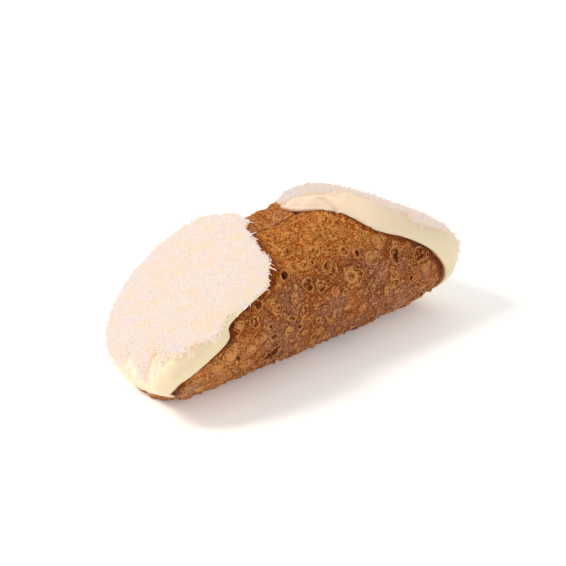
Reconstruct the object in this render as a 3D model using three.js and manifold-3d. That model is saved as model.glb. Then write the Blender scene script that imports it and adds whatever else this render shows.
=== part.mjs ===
// A filled pastry tube lying on its side: a sheet of fried dough wrapped once round into a tube, with one
// flap lapping over the other along the top, and a cream filling that runs right through it and stands
// out as a mound at each slanted open end, sprinkled with shredded coconut.
//
// The tube lies along X and rests on the plane Z = 0. Lengths are in millimetres. Angles are in degrees
// round the tube from its bottom line, positive on the -Y side, so 90 is the -Y side and 180 is the top.
import * as THREE from "three";
import { mergeVertices } from "three/addons/utils/BufferGeometryUtils.js";
import Module from "manifold-3d";

// ---- Driving sizes ----

const TUBE_RADIUS = 20; // outside of the dough at mid-length
const WALL = 2.4; // thickness of the fried dough
const CLEARANCE = 0.3; // left between the two layers of dough, and between dough and cream
const REST_FLAT = 0.4; // how much of the round is pressed flat where it rests
const END_TAPER = 1.7; // how much the radius shrinks towards the tips
const TAPER_REACH = 52; // distance from mid-length at which the taper is complete

const FLAP_EDGE = -193; // free edge of the outer layer, which comes over the top from the +Y side
const UNDER_EDGE = 188; // edge of the under layer, tucked beneath the flap
const FLAP_LIFT = 0.55 * WALL + 0.5 * CLEARANCE; // outer layer above the round
const UNDER_DROP = 0.45 * WALL + 0.5 * CLEARANCE; // under layer below it
const FLAP_WAVE = 5; // degrees by which the free edge draws back towards its far corner
const SADDLE = 1.2; // how much lower the top lies from the flap's middle towards the -X end

// How far the dough reaches from mid-length towards -X and +X, by angle: [degrees, millimetres].
const NEAR_RIM = [
  [-193, 12.5], [-172, 13], [-150, 16.5], [-130, 23], [-110, 30.5], [-90, 36.5], [-65, 43], [-40, 45],
  [0, 45.5], [30, 46.5], [50, 50.5], [63, 55], [73, 54.5], [92, 45.5], [112, 34], [130, 22.5],
  [160, 18], [188, 15.5],
];
const FAR_RIM = [
  [-193, 4.4], [-180, 4], [-171, 4.4], [-160, 7], [-148, 13], [-130, 23], [-110, 32], [-90, 41.5],
  [-65, 48], [0, 49], [30, 49.5], [58, 51], [72, 49.5], [97, 42], [114, 34], [133, 22], [156, 16.5],
  [168, 12], [176, 7], [188, 5.5],
];
const RIM_RAGGEDNESS = 0.45; // broken, crumbly edge
const RIM_MARGIN = 1.1; // room left for the broken edge beyond the plain rim

// The mound of cream at one end. crown is its height over the middle of the opening. shoulder, lip and
// droop go round the rim from the top in eight equal steps, first down the +Y side and then up the -Y
// side: the height just inside the rim, how far the cream stands out over the rim, and how far it hangs.
// Its height is measured along a direction that leans up by lean[0] degrees at the bottom of the opening
// and by lean[1] degrees at its top. Along the -Y side its edge hangs in lobes, each lobe mm deep.
const NEAR_MOUND = {
  end: -1,
  rim: NEAR_RIM,
  crown: 8.9,
  shoulder: [7.4, 7.5, 6.8, 6.9, 6, 7.2, 7.3, 7.3],
  lip: [1.6, 1.4, 1.3, -0.8, -3.4, -0.4, 2, 2.2],
  droop: [2.5, 1.5, 1.5, 0.4, 0, 0.8, 3, 3.6],
  lean: [16, 53],
  lobe: 1,
};
const FAR_MOUND = {
  end: 1,
  rim: FAR_RIM,
  crown: 10.4,
  shoulder: [9.6, 8.6, 8, 8, 7.6, 9.8, 11, 8.8],
  lip: [1.2, 1.2, 1.2, -0.8, -3, -0.9, 0.3, 0.4],
  droop: [1.2, 1.5, 1.5, 0.4, 0, 0.3, 0.5, 0.8],
  lean: [8, 38],
  lobe: 0.3,
};
const LOBE_STEP = 34;
const LOBE_FIRST = 120; // angle of the topmost lobe

// Coconut shreds lying on the cream.
const SHRED_COUNT = 150;
const SHRED_LENGTH = [3, 4.6];
const SHRED_WIDTH = [0.9, 1.3];
const SHRED_THICKNESS = 0.6;
const SHRED_RISE = 0.16; // how far a shred's middle line sits above the cream
const BARE_NEAR = [28, 100]; // angles where the near mound's edge is left bare
const BARE_FAR = [30, 186]; // and the far mound's

// Blisters that the frying raised in the dough: [angle, x, radius, height of the ring, depth of the pit].
const LARGE_BLISTERS = [
  [126, -13.5, 2, 0.35, 1.1], [117, -6.1, 2.4, 0.5, 0.9], [113, -1.4, 1.9, 0.5, 0.6],
  [129, 4.5, 2.6, 0.6, 0.5], [112, 9.8, 3.3, 0.7, 0.5], [115, 18, 2.1, 0.55, 0.4],
  [111, 25.3, 2.6, 0.6, 0.7], [100, 35.9, 2.6, 0.6, 0.8], [130, 17.6, 1.8, 0.5, 0.3],
  [101, -11.6, 2.6, 0.5, 0.3], [107, -16.7, 2, 0.45, 0.4], [78, -29.8, 2, 0.55, 0.4],
  [79, -39.8, 2.4, 0.6, 0.5], [90, -35.9, 2, 0.5, 0.3],
];
const SMALL_BLISTERS = 120;
const SMALL_BLISTER_RADIUS = [1.9, 3.4];
const RELIEF_LIMIT = 0.9; // no blister stands higher than this

// Faces: rows and spacing on the dough's outside, steps round and along its inside and its room in the
// cream, steps round and across a mound.
const OUTER_ROWS = 78;
const OUTER_SPACING = 1.82;
const INNER_STEPS = { round: 44, along: 5 };
const ROOM_STEPS = { round: 38, along: 4 };
const MOUND_STEPS = { round: 42, rings: 10 };
const CORE_RINGS = 6;

// ---- Small helpers ----

const radians = THREE.MathUtils.degToRad;
const lerp = THREE.MathUtils.lerp;
const smoothstep = THREE.MathUtils.smoothstep;

// A smooth curve through [position, value] pairs that never overshoots them.
function curveThrough(points) {
  const slopes = points.slice(1).map(([x, y], i) => (y - points[i][1]) / (x - points[i][0]));
  const tangents = points.map((point, i) => {
    const before = slopes[Math.max(i - 1, 0)];
    const after = slopes[Math.min(i, slopes.length - 1)];
    return before * after <= 0 ? 0 : (2 * before * after) / (before + after);
  });
  return (x) => {
    const last = points.length - 2;
    let i = 0;
    while (i < last && x > points[i + 1][0]) i += 1;
    const width = points[i + 1][0] - points[i][0];
    const t = THREE.MathUtils.clamp((x - points[i][0]) / width, 0, 1);
    const rise = t * t * (3 - 2 * t);
    return (
      lerp(points[i][1], points[i + 1][1], rise) +
      width * t * (1 - t) * ((1 - t) * tangents[i] - t * tangents[i + 1])
    );
  };
}

// A smooth closed curve through values at equal steps of the whole turn, starting from the top.
function curveRound(values) {
  const count = values.length;
  return (angle) => {
    const position = ((angle + 180) / 360) * count;
    const i = Math.floor(position);
    const t = position - i;
    const [a, b, c, d] = [-1, 0, 1, 2].map((step) => values[(i + step + 2 * count) % count]);
    return b + 0.5 * t * (c - a + t * (2 * a - 5 * b + 4 * c - d + t * (3 * (b - c) + d - a)));
  };
}

// A repeatable stream of random numbers from 0 to 1.
function randomStream(seed) {
  let state = seed;
  return () => {
    state = (state + 0x6d2b79f5) | 0;
    let t = Math.imul(state ^ (state >>> 15), 1 | state);
    t = (t + Math.imul(t ^ (t >>> 7), 61 | t)) ^ t;
    return ((t ^ (t >>> 14)) >>> 0) / 4294967296;
  };
}

function geometryFrom(points, faces) {
  const geometry = new THREE.BufferGeometry();
  geometry.setAttribute("position", new THREE.Float32BufferAttribute(points.flat(), 3));
  geometry.setIndex(faces.flat());
  return geometry;
}

// The two triangles of the square a, b, c, d.
function square(a, b, c, d) {
  return [[a, b, c], [a, c, d]];
}

// Triangles between two rows of points, stepping on along whichever row lags behind in the key given.
function zip(rowA, rowB, key) {
  const faces = [];
  let a = 0;
  let b = 0;
  while (a < rowA.length - 1 || b < rowB.length - 1) {
    const endOfA = a === rowA.length - 1;
    const endOfB = b === rowB.length - 1;
    if (endOfB || (!endOfA && rowA[a + 1][key] <= rowB[b + 1][key])) {
      faces.push([rowA[a].index, rowA[a + 1].index, rowB[b].index]);
      a += 1;
    } else {
      faces.push([rowA[a].index, rowB[b + 1].index, rowB[b].index]);
      b += 1;
    }
  }
  return faces;
}

// ---- Joining and cutting ----

const wasm = await Module();
wasm.setup();

function solidFrom(geometry) {
  const bare = geometry.clone();
  bare.deleteAttribute("normal");
  bare.deleteAttribute("uv");
  const merged = mergeVertices(bare, 1e-4);
  return new wasm.Manifold(
    new wasm.Mesh({
      numProp: 3,
      vertProperties: merged.attributes.position.array,
      triVerts: new Uint32Array(merged.index.array),
    }),
  );
}

function geometryOf(solid) {
  const mesh = solid.getMesh();
  const geometry = new THREE.BufferGeometry();
  geometry.setAttribute("position", new THREE.Float32BufferAttribute(mesh.vertProperties, 3));
  geometry.setIndex(new THREE.Uint32BufferAttribute(mesh.triVerts, 1));
  geometry.computeVertexNormals();
  return geometry;
}

// The largest connected body, which drops any loose scrap that a cut leaves.
function largestBody(solid) {
  return solid.decompose().reduce((best, body) => (body.volume() > best.volume() ? body : best));
}

// ---- The wrapped sheet of dough ----

const nearRim = curveThrough(NEAR_RIM);
const farRim = curveThrough(FAR_RIM);

// Point at an angle and a distance from the tube's middle line.
function around(angle, x, radius) {
  const a = radians(angle);
  return [x, -radius * Math.sin(a), TUBE_RADIUS - REST_FLAT - radius * Math.cos(a)];
}

// Outside radius of the sheet, without its blisters.
function sheetRadius(angle, x) {
  const lift = (1 - smoothstep(angle, -174, -148)) * FLAP_LIFT;
  const drop = smoothstep(angle, 138, 166) * UNDER_DROP;
  const sag = SADDLE * (1 - smoothstep(x, -8, 6)) * smoothstep(Math.abs(angle), 125, 170);
  return TUBE_RADIUS - END_TAPER * (Math.abs(x) / TAPER_REACH) ** 4 + lift - drop - sag;
}

// Small uneven steps of a broken edge, by angle.
function ragged(angle, phase) {
  const wave = Math.sin(radians(angle * 17) + phase) + 0.7 * Math.sin(radians(angle * 31) + 2.3 * phase);
  return RIM_RAGGEDNESS * 0.6 * wave;
}

function makeBlisters() {
  const random = randomStream(21);
  const blisters = LARGE_BLISTERS.map((row) => [...row]);
  while (blisters.length < LARGE_BLISTERS.length + SMALL_BLISTERS) {
    const angle = lerp(FLAP_EDGE, 160, random());
    const x = lerp(-52, 50, random());
    const radius = lerp(...SMALL_BLISTER_RADIUS, random() ** 2);
    const near = blisters.some(([otherAngle, otherX, otherRadius]) => {
      const across = TUBE_RADIUS * radians(angle - otherAngle);
      return Math.hypot(across, x - otherX) < 0.8 * (radius + otherRadius);
    });
    const inside = x > -nearRim(angle) && x < farRim(angle);
    if (inside && !near) blisters.push([angle, x, radius, 0.25 * radius, 0.35 * random() * radius]);
    else random();
  }
  return blisters;
}

const blisters = makeBlisters();

// Height of the blisters over the plain sheet: a raised ring with a hollow inside it.
function relief(angle, x) {
  let height = 0;
  let hollow = 0;
  for (const [centreAngle, centreX, radius, ring, pit] of blisters) {
    const across = TUBE_RADIUS * radians(angle - centreAngle);
    const reach = Math.hypot(across, x - centreX) / radius;
    if (reach > 1.6) continue;
    height = Math.max(height, ring * Math.exp(-(((reach - 0.75) / 0.35) ** 2)));
    hollow = Math.max(hollow, pit * (1 - smoothstep(reach, 0.15, 0.7)));
  }
  const swell = 0.12 * Math.sin(radians(angle * 3) + x / 7) + 0.1 * Math.sin(radians(angle * 5) - x / 4);
  const hidden = Math.max(smoothstep(angle, 155, 163), 1 - smoothstep(Math.abs(angle), 9, 14));
  return (Math.min(height, RELIEF_LIMIT - 0.22) - hollow + swell) * (1 - hidden);
}

// A closed sheet between an outer and an inner layer. Each layer is rows of places, [angle, x].
function sheetGeometry(outerRows, innerRows, outerPoint, innerPoint) {
  const points = [];
  const faces = [];
  const layer = (rows, pointAt) =>
    rows.map((row) =>
      row.map(([angle, x]) => {
        points.push(pointAt(angle, x));
        return { index: points.length - 1, angle, x };
      }),
    );
  const join = (rowA, rowB, key, turned) => {
    for (const [a, b, c] of zip(rowA, rowB, key)) faces.push(turned ? [a, c, b] : [a, b, c]);
  };
  const outer = layer(outerRows, outerPoint);
  const inner = layer(innerRows, innerPoint);
  outer.slice(1).forEach((row, i) => join(outer[i], row, "x", false));
  inner.slice(1).forEach((row, i) => join(inner[i], row, "x", true));
  join(outer.map((row) => row[0]), inner.map((row) => row[0]), "angle", false);
  join(outer.map((row) => row.at(-1)), inner.map((row) => row.at(-1)), "angle", true);
  join(outer[0], inner[0], "x", true);
  join(outer.at(-1), inner.at(-1), "x", false);
  return geometryFrom(points, faces);
}

// Places in straight rows, each cut into equal steps from rim to rim. margin lies beyond both rims.
function plainRows(from, to, steps, margin) {
  return Array.from({ length: steps.round + 1 }, (unused, i) => {
    const angle = lerp(from, to, i / steps.round);
    const start = -nearRim(angle) - margin;
    const end = farRim(angle) + margin;
    return Array.from({ length: steps.along + 1 }, (alsoUnused, j) => [angle, lerp(start, end, j / steps.along)]);
  });
}

// Places at even spacing all over the sheet, staggered from row to row, with the broken rims.
function evenRows(count, spacing) {
  return Array.from({ length: count + 1 }, (unused, i) => {
    const angle = lerp(FLAP_EDGE, UNDER_EDGE, i / count);
    const start = -nearRim(angle) - ragged(angle, 0.4);
    const end = farRim(angle) + ragged(angle, 1.9);
    const row = [[angle, start]];
    const first = Math.ceil(start / spacing) + (i % 2) / 2;
    for (let x = first * spacing; x < end - 0.4 * spacing; x += spacing) {
      if (x > start + 0.4 * spacing) row.push([angle, x]);
    }
    return [...row, [angle, end]];
  });
}

// Draws the free edge back towards its far corner.
function drawnBack(angle, x) {
  const towardsEdge = 1 - smoothstep(angle, FLAP_EDGE, FLAP_EDGE + 20);
  return angle + towardsEdge * FLAP_WAVE * smoothstep(x, 0, 6);
}

function doughShell() {
  const outerPoint = (flatAngle, x) => {
    const angle = drawnBack(flatAngle, x);
    const [, y, z] = around(angle, x, sheetRadius(angle, x) + relief(angle, x));
    return [x, y, Math.max(z, 0)];
  };
  const innerPoint = (flatAngle, x) => {
    const angle = drawnBack(flatAngle, x);
    return around(angle, x, sheetRadius(angle, x) - WALL);
  };
  const outerRows = evenRows(OUTER_ROWS, OUTER_SPACING);
  const innerRows = plainRows(FLAP_EDGE, UNDER_EDGE, INNER_STEPS, 0);
  return sheetGeometry(outerRows, innerRows, outerPoint, innerPoint);
}

// The room that the cream leaves for the dough: the plain sheet grown by the clearance on every side, in
// two halves so that neither laps over itself.
function doughRoom() {
  const halves = [[FLAP_EDGE - 2, 95], [85, UNDER_EDGE + 2]];
  const layer = (offset) => (angle, x) => around(angle, x, sheetRadius(angle, x) + offset);
  const [near, far] = halves.map(([from, to]) => {
    const rows = plainRows(from, to, ROOM_STEPS, RIM_MARGIN);
    return solidFrom(sheetGeometry(rows, rows, layer(RELIEF_LIMIT + CLEARANCE), layer(-WALL - CLEARANCE)));
  });
  return near.add(far);
}

// ---- The cream ----

// Where the slanted opening lies: x of the surface spanned by the rim, at a height and a side.
function openingX(mound, rimAt, y, z) {
  const fromAxis = z - (TUBE_RADIUS - REST_FLAT);
  const angle = THREE.MathUtils.radToDeg(Math.acos(THREE.MathUtils.clamp(-fromAxis / TUBE_RADIUS, -1, 1)));
  const halfWidth = Math.sqrt(Math.max(TUBE_RADIUS ** 2 - fromAxis ** 2, 1));
  const side = THREE.MathUtils.clamp(0.5 - (0.5 * y) / halfWidth, 0, 1);
  const share = 0.5 * (side + smoothstep(side, 0, 1));
  return mound.end * lerp(rimAt(-angle), rimAt(angle), share);
}

// The rings of a mound at one angle, from its crown out over the rim and back under its lip.
function moundProfile(mound, curves, angle) {
  const shoulder = curves.shoulder(angle);
  const onFront = smoothstep(angle, 35, 70) * (1 - smoothstep(angle, 150, 175));
  const lobe = mound.lobe * onFront * Math.cos((2 * Math.PI * (angle - LOBE_FIRST)) / LOBE_STEP);
  const droop = curves.droop(angle) + lobe;
  const out = TUBE_RADIUS + curves.lip(angle);
  return new THREE.SplineCurve([
    new THREE.Vector2(0, mound.crown),
    new THREE.Vector2(0.3 * TUBE_RADIUS, 0.98 * mound.crown),
    new THREE.Vector2(0.6 * out, 0.35 * mound.crown + 0.67 * shoulder),
    new THREE.Vector2(0.85 * out, 0.93 * shoulder),
    new THREE.Vector2(out - 1.4, 0.68 * shoulder),
    new THREE.Vector2(out - 0.4, 0.42 * shoulder),
    new THREE.Vector2(out, 0.1 * shoulder),
    new THREE.Vector2(out - 0.4, -0.6 * droop),
    new THREE.Vector2(out - 1.2, -droop),
  ]).getPoints(MOUND_STEPS.rings);
}

// Rings of points over one mound. The first ring is the crown, all in one place.
function moundRings(mound) {
  const rimAt = curveThrough(mound.rim);
  const curves = {
    shoulder: curveRound(mound.shoulder),
    lip: curveRound(mound.lip),
    droop: curveRound(mound.droop),
  };
  const rings = Array.from({ length: MOUND_STEPS.rings + 1 }, () => []);
  for (let i = 0; i < MOUND_STEPS.round; i += 1) {
    const angle = -180 + (360 * i) / MOUND_STEPS.round;
    moundProfile(mound, curves, angle).forEach(({ x: radius, y: height }, ring) => {
      const [, y, z] = around(angle, 0, radius);
      const [, rimY, rimZ] = around(angle, 0, Math.min(radius, TUBE_RADIUS));
      const lean = radians(lerp(...mound.lean, smoothstep(z, 4, 36)));
      const x = openingX(mound, rimAt, rimY, rimZ);
      rings[ring].push([x + mound.end * Math.cos(lean) * height, y, z + Math.sin(lean) * height]);
    });
  }
  return rings;
}

// Rings through the tube from one mound to the other, in the middle of the dough's wall, where the room
// for the dough then trims them.
function coreRings() {
  const nearAt = curveThrough(NEAR_RIM);
  const farAt = curveThrough(FAR_RIM);
  const setBack = 2.5;
  return Array.from({ length: CORE_RINGS }, (unused, k) =>
    Array.from({ length: MOUND_STEPS.round }, (alsoUnused, i) => {
      const angle = -180 + (360 * i) / MOUND_STEPS.round;
      const x = lerp(setBack - nearAt(angle), farAt(angle) - setBack, k / (CORE_RINGS - 1));
      return around(angle, x, sheetRadius(angle, x) - WALL / 2);
    }),
  );
}

// One closed skin over a list of rings, pinched to a point at both ends.
function skinOver(rings) {
  const round = rings[0].length;
  const points = [rings[0][0], ...rings.slice(1, -1).flat(), rings.at(-1)[0]];
  const last = points.length - 1;
  const at = (ring, i) => 1 + (ring - 1) * round + (i % round);
  const faces = [];
  for (let i = 0; i < round; i += 1) {
    faces.push([0, at(1, i), at(1, i + 1)]);
    for (let ring = 1; ring < rings.length - 2; ring += 1) {
      faces.push(...square(at(ring, i), at(ring + 1, i), at(ring + 1, i + 1), at(ring, i + 1)));
    }
    faces.push([at(rings.length - 2, i), last, at(rings.length - 2, i + 1)]);
  }
  return geometryFrom(points, faces);
}

// ---- Coconut ----

// Whether coconut lies at a place on a mound, given the angle and the share of the way to the lip.
function sprinkled(mound, angle, share) {
  const [from, to] = mound.end < 0 ? BARE_NEAR : BARE_FAR;
  const turned = angle < -170 ? angle + 360 : angle;
  const bare = turned > from && turned < to;
  const reach = mound.end < 0 ? 0.6 : 0.36;
  return share < (bare ? reach : 0.8);
}

// A flat shred, widest in the middle and pointed at both ends, lying along the direction given.
function shred(centre, normal, direction, length, width) {
  const side = new THREE.Vector3().crossVectors(normal, direction);
  const middle = centre.clone().addScaledVector(normal, SHRED_RISE);
  const corner = (along, s, n) =>
    middle.clone().addScaledVector(direction, along).addScaledVector(side, s).addScaledVector(normal, n);
  const tips = [corner(-length / 2, 0, 0), corner(length / 2, 0, 0)];
  const girth = [
    corner(0, width / 2, 0),
    corner(0, 0, SHRED_THICKNESS / 2),
    corner(0, -width / 2, 0),
    corner(0, 0, -SHRED_THICKNESS / 2),
  ];
  const points = [...tips, ...girth].map((point) => point.toArray());
  const faces = [0, 1, 2, 3].flatMap((k) => {
    const here = 2 + k;
    const next = 2 + ((k + 1) % 4);
    return [[0, next, here], [1, here, next]];
  });
  return solidFrom(geometryFrom(points, faces));
}

// Shreds spread evenly over both mounds, largest first.
function coconut(mounds) {
  const random = randomStream(5);
  const cells = [];
  for (const { mound, rings } of mounds) {
    for (let ring = 1; ring < rings.length - 2; ring += 1) {
      for (let i = 0; i < MOUND_STEPS.round; i += 1) {
        const angle = -180 + (360 * (i + 0.5)) / MOUND_STEPS.round;
        if (!sprinkled(mound, angle, ring / MOUND_STEPS.rings)) continue;
        const next = (i + 1) % MOUND_STEPS.round;
        const corners = [rings[ring][i], rings[ring + 1][i], rings[ring + 1][next], rings[ring][next]];
        const [a, b, c, d] = corners.map((corner) => new THREE.Vector3(...corner));
        const normal = new THREE.Vector3().crossVectors(c.clone().sub(a), d.clone().sub(b));
        const area = normal.length() / 2;
        normal.normalize().multiplyScalar(-mound.end);
        cells.push({ a, b, c, d, normal, area });
      }
    }
  }
  const total = cells.reduce((sum, cell) => sum + cell.area, 0);
  const pick = () => {
    let left = random() * total;
    const cell = cells.find((one) => (left -= one.area) < 0) ?? cells.at(-1);
    const [s, t] = [random(), random()];
    const edge = cell.a.clone().lerp(cell.b, s);
    return { cell, point: edge.lerp(cell.d.clone().lerp(cell.c, s), t) };
  };
  const placed = [];
  const solids = [];
  for (let k = 0; k < SHRED_COUNT; k += 1) {
    let best = null;
    for (let trial = 0; trial < 8; trial += 1) {
      const choice = pick();
      choice.space = Math.min(...placed.map((point) => point.distanceTo(choice.point)), 1e3);
      if (!best || choice.space > best.space) best = choice;
    }
    placed.push(best.point);
    const size = 1 - k / SHRED_COUNT;
    const turn = random() * Math.PI;
    const normal = best.cell.normal;
    const flat = new THREE.Vector3(0, 1, 0).cross(normal).normalize().applyAxisAngle(normal, turn);
    solids.push(shred(best.point, normal, flat, lerp(...SHRED_LENGTH, size), lerp(...SHRED_WIDTH, size)));
  }
  return solids;
}

function creamFilling() {
  const near = moundRings(NEAR_MOUND);
  const far = moundRings(FAR_MOUND);
  const skin = skinOver([...near, ...coreRings(), ...far.toReversed()]);
  const shreds = coconut([
    { mound: NEAR_MOUND, rings: near },
    { mound: FAR_MOUND, rings: far },
  ]);
  const whole = shreds.reduce((sum, one) => sum.add(one), solidFrom(skin));
  return geometryOf(largestBody(whole.subtract(doughRoom())));
}

// ---- The part ----

function pastryShell() {
  const material = new THREE.MeshStandardMaterial({ color: 0x9a5f33, roughness: 0.62, metalness: 0 });
  const mesh = new THREE.Mesh(geometryOf(solidFrom(doughShell())), material);
  mesh.name = "pastry_shell";
  return mesh;
}

function filling() {
  const material = new THREE.MeshStandardMaterial({ color: 0xf7e6d3, roughness: 0.5, metalness: 0 });
  const mesh = new THREE.Mesh(creamFilling(), material);
  mesh.name = "cream_filling";
  return mesh;
}

const cannoli = new THREE.Group();
cannoli.add(pastryShell(), filling());

export default cannoli;
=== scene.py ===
"""A coconut cannoli: a tube of blistered fried dough, the cream that fills it, and shredded coconut.

The tube lies along X and rests on Z = 0. Shapes are laid out in millimetres and turned to metres when a mesh
is made. Angles are in degrees round the tube from its bottom line, positive on the -Y side, so that 90 is the
-Y side and 180 is the top. The near end is at -X and the far end at +X.
"""

import logging
import math
from dataclasses import dataclass, field
from enum import Enum
from typing import ClassVar, Mapping, Sequence

import bpy
import numpy as np
from mathutils import Matrix, Vector


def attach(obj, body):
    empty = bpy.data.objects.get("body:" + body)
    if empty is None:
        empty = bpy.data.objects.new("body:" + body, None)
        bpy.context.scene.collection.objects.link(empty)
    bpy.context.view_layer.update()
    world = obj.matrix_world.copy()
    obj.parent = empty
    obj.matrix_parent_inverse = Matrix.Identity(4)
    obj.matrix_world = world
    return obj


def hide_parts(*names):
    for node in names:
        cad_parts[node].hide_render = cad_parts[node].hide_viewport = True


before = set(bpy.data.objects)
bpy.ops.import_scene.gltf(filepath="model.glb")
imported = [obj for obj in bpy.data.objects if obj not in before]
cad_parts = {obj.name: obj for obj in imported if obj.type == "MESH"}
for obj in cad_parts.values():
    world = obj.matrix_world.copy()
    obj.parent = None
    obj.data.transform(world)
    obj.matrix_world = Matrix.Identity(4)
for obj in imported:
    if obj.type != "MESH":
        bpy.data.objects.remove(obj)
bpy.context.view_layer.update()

Array = np.ndarray
Socket = bpy.types.NodeSocket
Links = Mapping[str | int, object]

LOG = logging.getLogger("cannoli")
MM = 0.001  # metres in a millimetre


# ---- Small helpers ----


def linear(sheet_colour: str) -> tuple[float, float, float, float]:
    """Turns an sRGB hex colour into linear light.

    Args:
        sheet_colour: A colour such as "#c08040".

    Returns:
        Red, green, blue and alpha, each from 0 to 1.
    """
    channels = [int(sheet_colour[i : i + 2], 16) / 255 for i in (1, 3, 5)]
    red, green, blue = (c / 12.92 if c <= 0.04045 else ((c + 0.055) / 1.055) ** 2.4 for c in channels)
    return red, green, blue, 1.0


def smoothstep(value: Array, low: float, high: float) -> Array:
    """Eases from 0 at low to 1 at high."""
    share = np.clip((value - low) / (high - low), 0.0, 1.0)
    return share * share * (3 - 2 * share)


def lerp(start: Array, end: Array, share: Array) -> Array:
    """Goes straight from start at share 0 to end at share 1."""
    return start + (end - start) * share


def bell(distance: Array, width: float) -> Array:
    """Gives 1 at distance 0 and fades away on both sides of it."""
    return np.exp(-((distance / width) ** 2))


def spline(a: Array, b: Array, c: Array, d: Array, t: Array) -> Array:
    """Goes from b at t 0 to c at t 1 along a smooth curve that also runs through a and d."""
    return b + 0.5 * t * (c - a + t * (2 * a - 5 * b + 4 * c - d + t * (3 * (b - c) + d - a)))


def unit(vectors: Array) -> Array:
    """Scales vectors, kept in the last axis, to length 1."""
    return vectors / np.maximum(np.linalg.norm(vectors, axis=-1, keepdims=True), 1e-9)


def add_node(
    tree: bpy.types.NodeTree, kind: str, links: Links, output: int | str = 0, **settings: object
) -> Socket | None:
    """Adds one node with its settings and links.

    Args:
        tree: The node tree that takes the node.
        kind: Blender's type name of the node.
        links: For each input, by name or number, the socket that feeds it or its value.
        output: Which output to give, by name or number.
        **settings: The node's own properties.

    Returns:
        The node's output, or None if it has none.
    """
    node = tree.nodes.new(kind)
    for name, value in settings.items():
        setattr(node, name, value)
    for key, value in links.items():
        if isinstance(value, Socket):
            tree.links.new(value, node.inputs[key])
        else:
            node.inputs[key].default_value = value
    return node.outputs[output] if node.outputs else None


def add_object(name: str, data: bpy.types.ID) -> bpy.types.Object:
    """Adds an object to the scene."""
    made = bpy.data.objects.new(name, data)
    bpy.context.scene.collection.objects.link(made)
    return made


def add_piece(
    name: str,
    points: Array,
    face_groups: Sequence[Array],
    material: bpy.types.Material,
    attributes: Mapping[str, Array],
    smooth: bool = True,
) -> bpy.types.Object:
    """Makes a mesh object that rides on the part's one body.

    Args:
        name: The piece's name.
        points: Vertex places in millimetres, one row each.
        face_groups: Arrays of vertex numbers, one row for each face.
        material: The finish of the whole piece.
        attributes: Named values, one for each vertex, that the finish reads.
        smooth: Whether its faces are shaded as one rounded surface.

    Returns:
        The new object.
    """
    mesh = bpy.data.meshes.new(name)
    mesh.vertices.add(len(points))
    mesh.vertices.foreach_set("co", (points * MM).astype(np.float32).ravel())
    corners = np.concatenate([group.ravel() for group in face_groups]).astype(np.int32)
    sizes = np.concatenate([np.full(len(group), group.shape[1]) for group in face_groups])
    mesh.loops.add(len(corners))
    mesh.loops.foreach_set("vertex_index", corners)
    mesh.polygons.add(len(sizes))
    mesh.polygons.foreach_set("loop_start", (np.cumsum(sizes) - sizes).astype(np.int32))
    mesh.update(calc_edges=True)
    mesh.validate()
    if smooth:
        mesh.shade_smooth()
    for key, values in attributes.items():
        mesh.attributes.new(key, "FLOAT", "POINT").data.foreach_set("value", values.astype(np.float32))
    mesh.materials.append(material)
    piece = add_object(name, mesh)
    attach(piece, "root")
    LOG.info("%s: %d vertices, %d triangles", name, len(points), int((sizes - 2).sum()))
    return piece


def grid_faces(rows: int, columns: int, closed: bool) -> Array:
    """Joins a grid of points, numbered row by row, into squares.

    Args:
        rows: How many rows there are.
        columns: How many points each row has.
        closed: Whether each row's last point joins its first.

    Returns:
        The four vertex numbers of each square.
    """
    steps = columns if closed else columns - 1
    row, column = np.meshgrid(np.arange(rows - 1), np.arange(steps), indexing="ij")
    start = (row * columns + column).ravel()
    beside = (row * columns + (column + 1) % columns).ravel()
    return np.stack([start, start + columns, beside + columns, beside], axis=-1)


def zipped_faces(
    first: Array, second: Array, first_at: Array, second_at: Array
) -> list[tuple[int, int, int]]:
    """Joins two rows of points with triangles, stepping along whichever row lags behind.

    Args:
        first: Vertex numbers of one row.
        second: Vertex numbers of the other row.
        first_at: Where each point of the first row lies along it, rising.
        second_at: The same for the second row.

    Returns:
        Triangles that turn the same way as first, next of first, second.
    """
    faces = []
    a, b = 0, 0
    last_a, last_b = len(first) - 1, len(second) - 1
    while a < last_a or b < last_b:
        if b == last_b or (a < last_a and first_at[a + 1] <= second_at[b + 1]):
            faces.append((first[a], first[a + 1], second[b]))
            a += 1
        else:
            faces.append((first[a], second[b + 1], second[b]))
            b += 1
    return faces


class SmoothCurve:
    """A smooth curve through (position, value) pairs that never overshoots them."""

    def __init__(self, pairs: Sequence[tuple[float, float]]) -> None:
        """Keeps the pairs and works out the slope at each."""
        self.at, self.value = np.array(pairs, float).T
        slopes = np.diff(self.value) / np.diff(self.at)
        before = np.concatenate([slopes[:1], slopes])
        after = np.concatenate([slopes, slopes[-1:]])
        level = before * after <= 0
        self.tangent = np.where(level, 0.0, 2 * before * after / np.where(level, 1.0, before + after))

    def __call__(self, position: Array) -> Array:
        """Gives the curve's value at each position, flat beyond its ends."""
        place = np.asarray(position, float)
        i = np.clip(np.searchsorted(self.at, place, side="left") - 1, 0, len(self.at) - 2)
        width = self.at[i + 1] - self.at[i]
        t = np.clip((place - self.at[i]) / width, 0.0, 1.0)
        plain = lerp(self.value[i], self.value[i + 1], t * t * (3 - 2 * t))
        return plain + width * t * (1 - t) * ((1 - t) * self.tangent[i] - t * self.tangent[i + 1])


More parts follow.
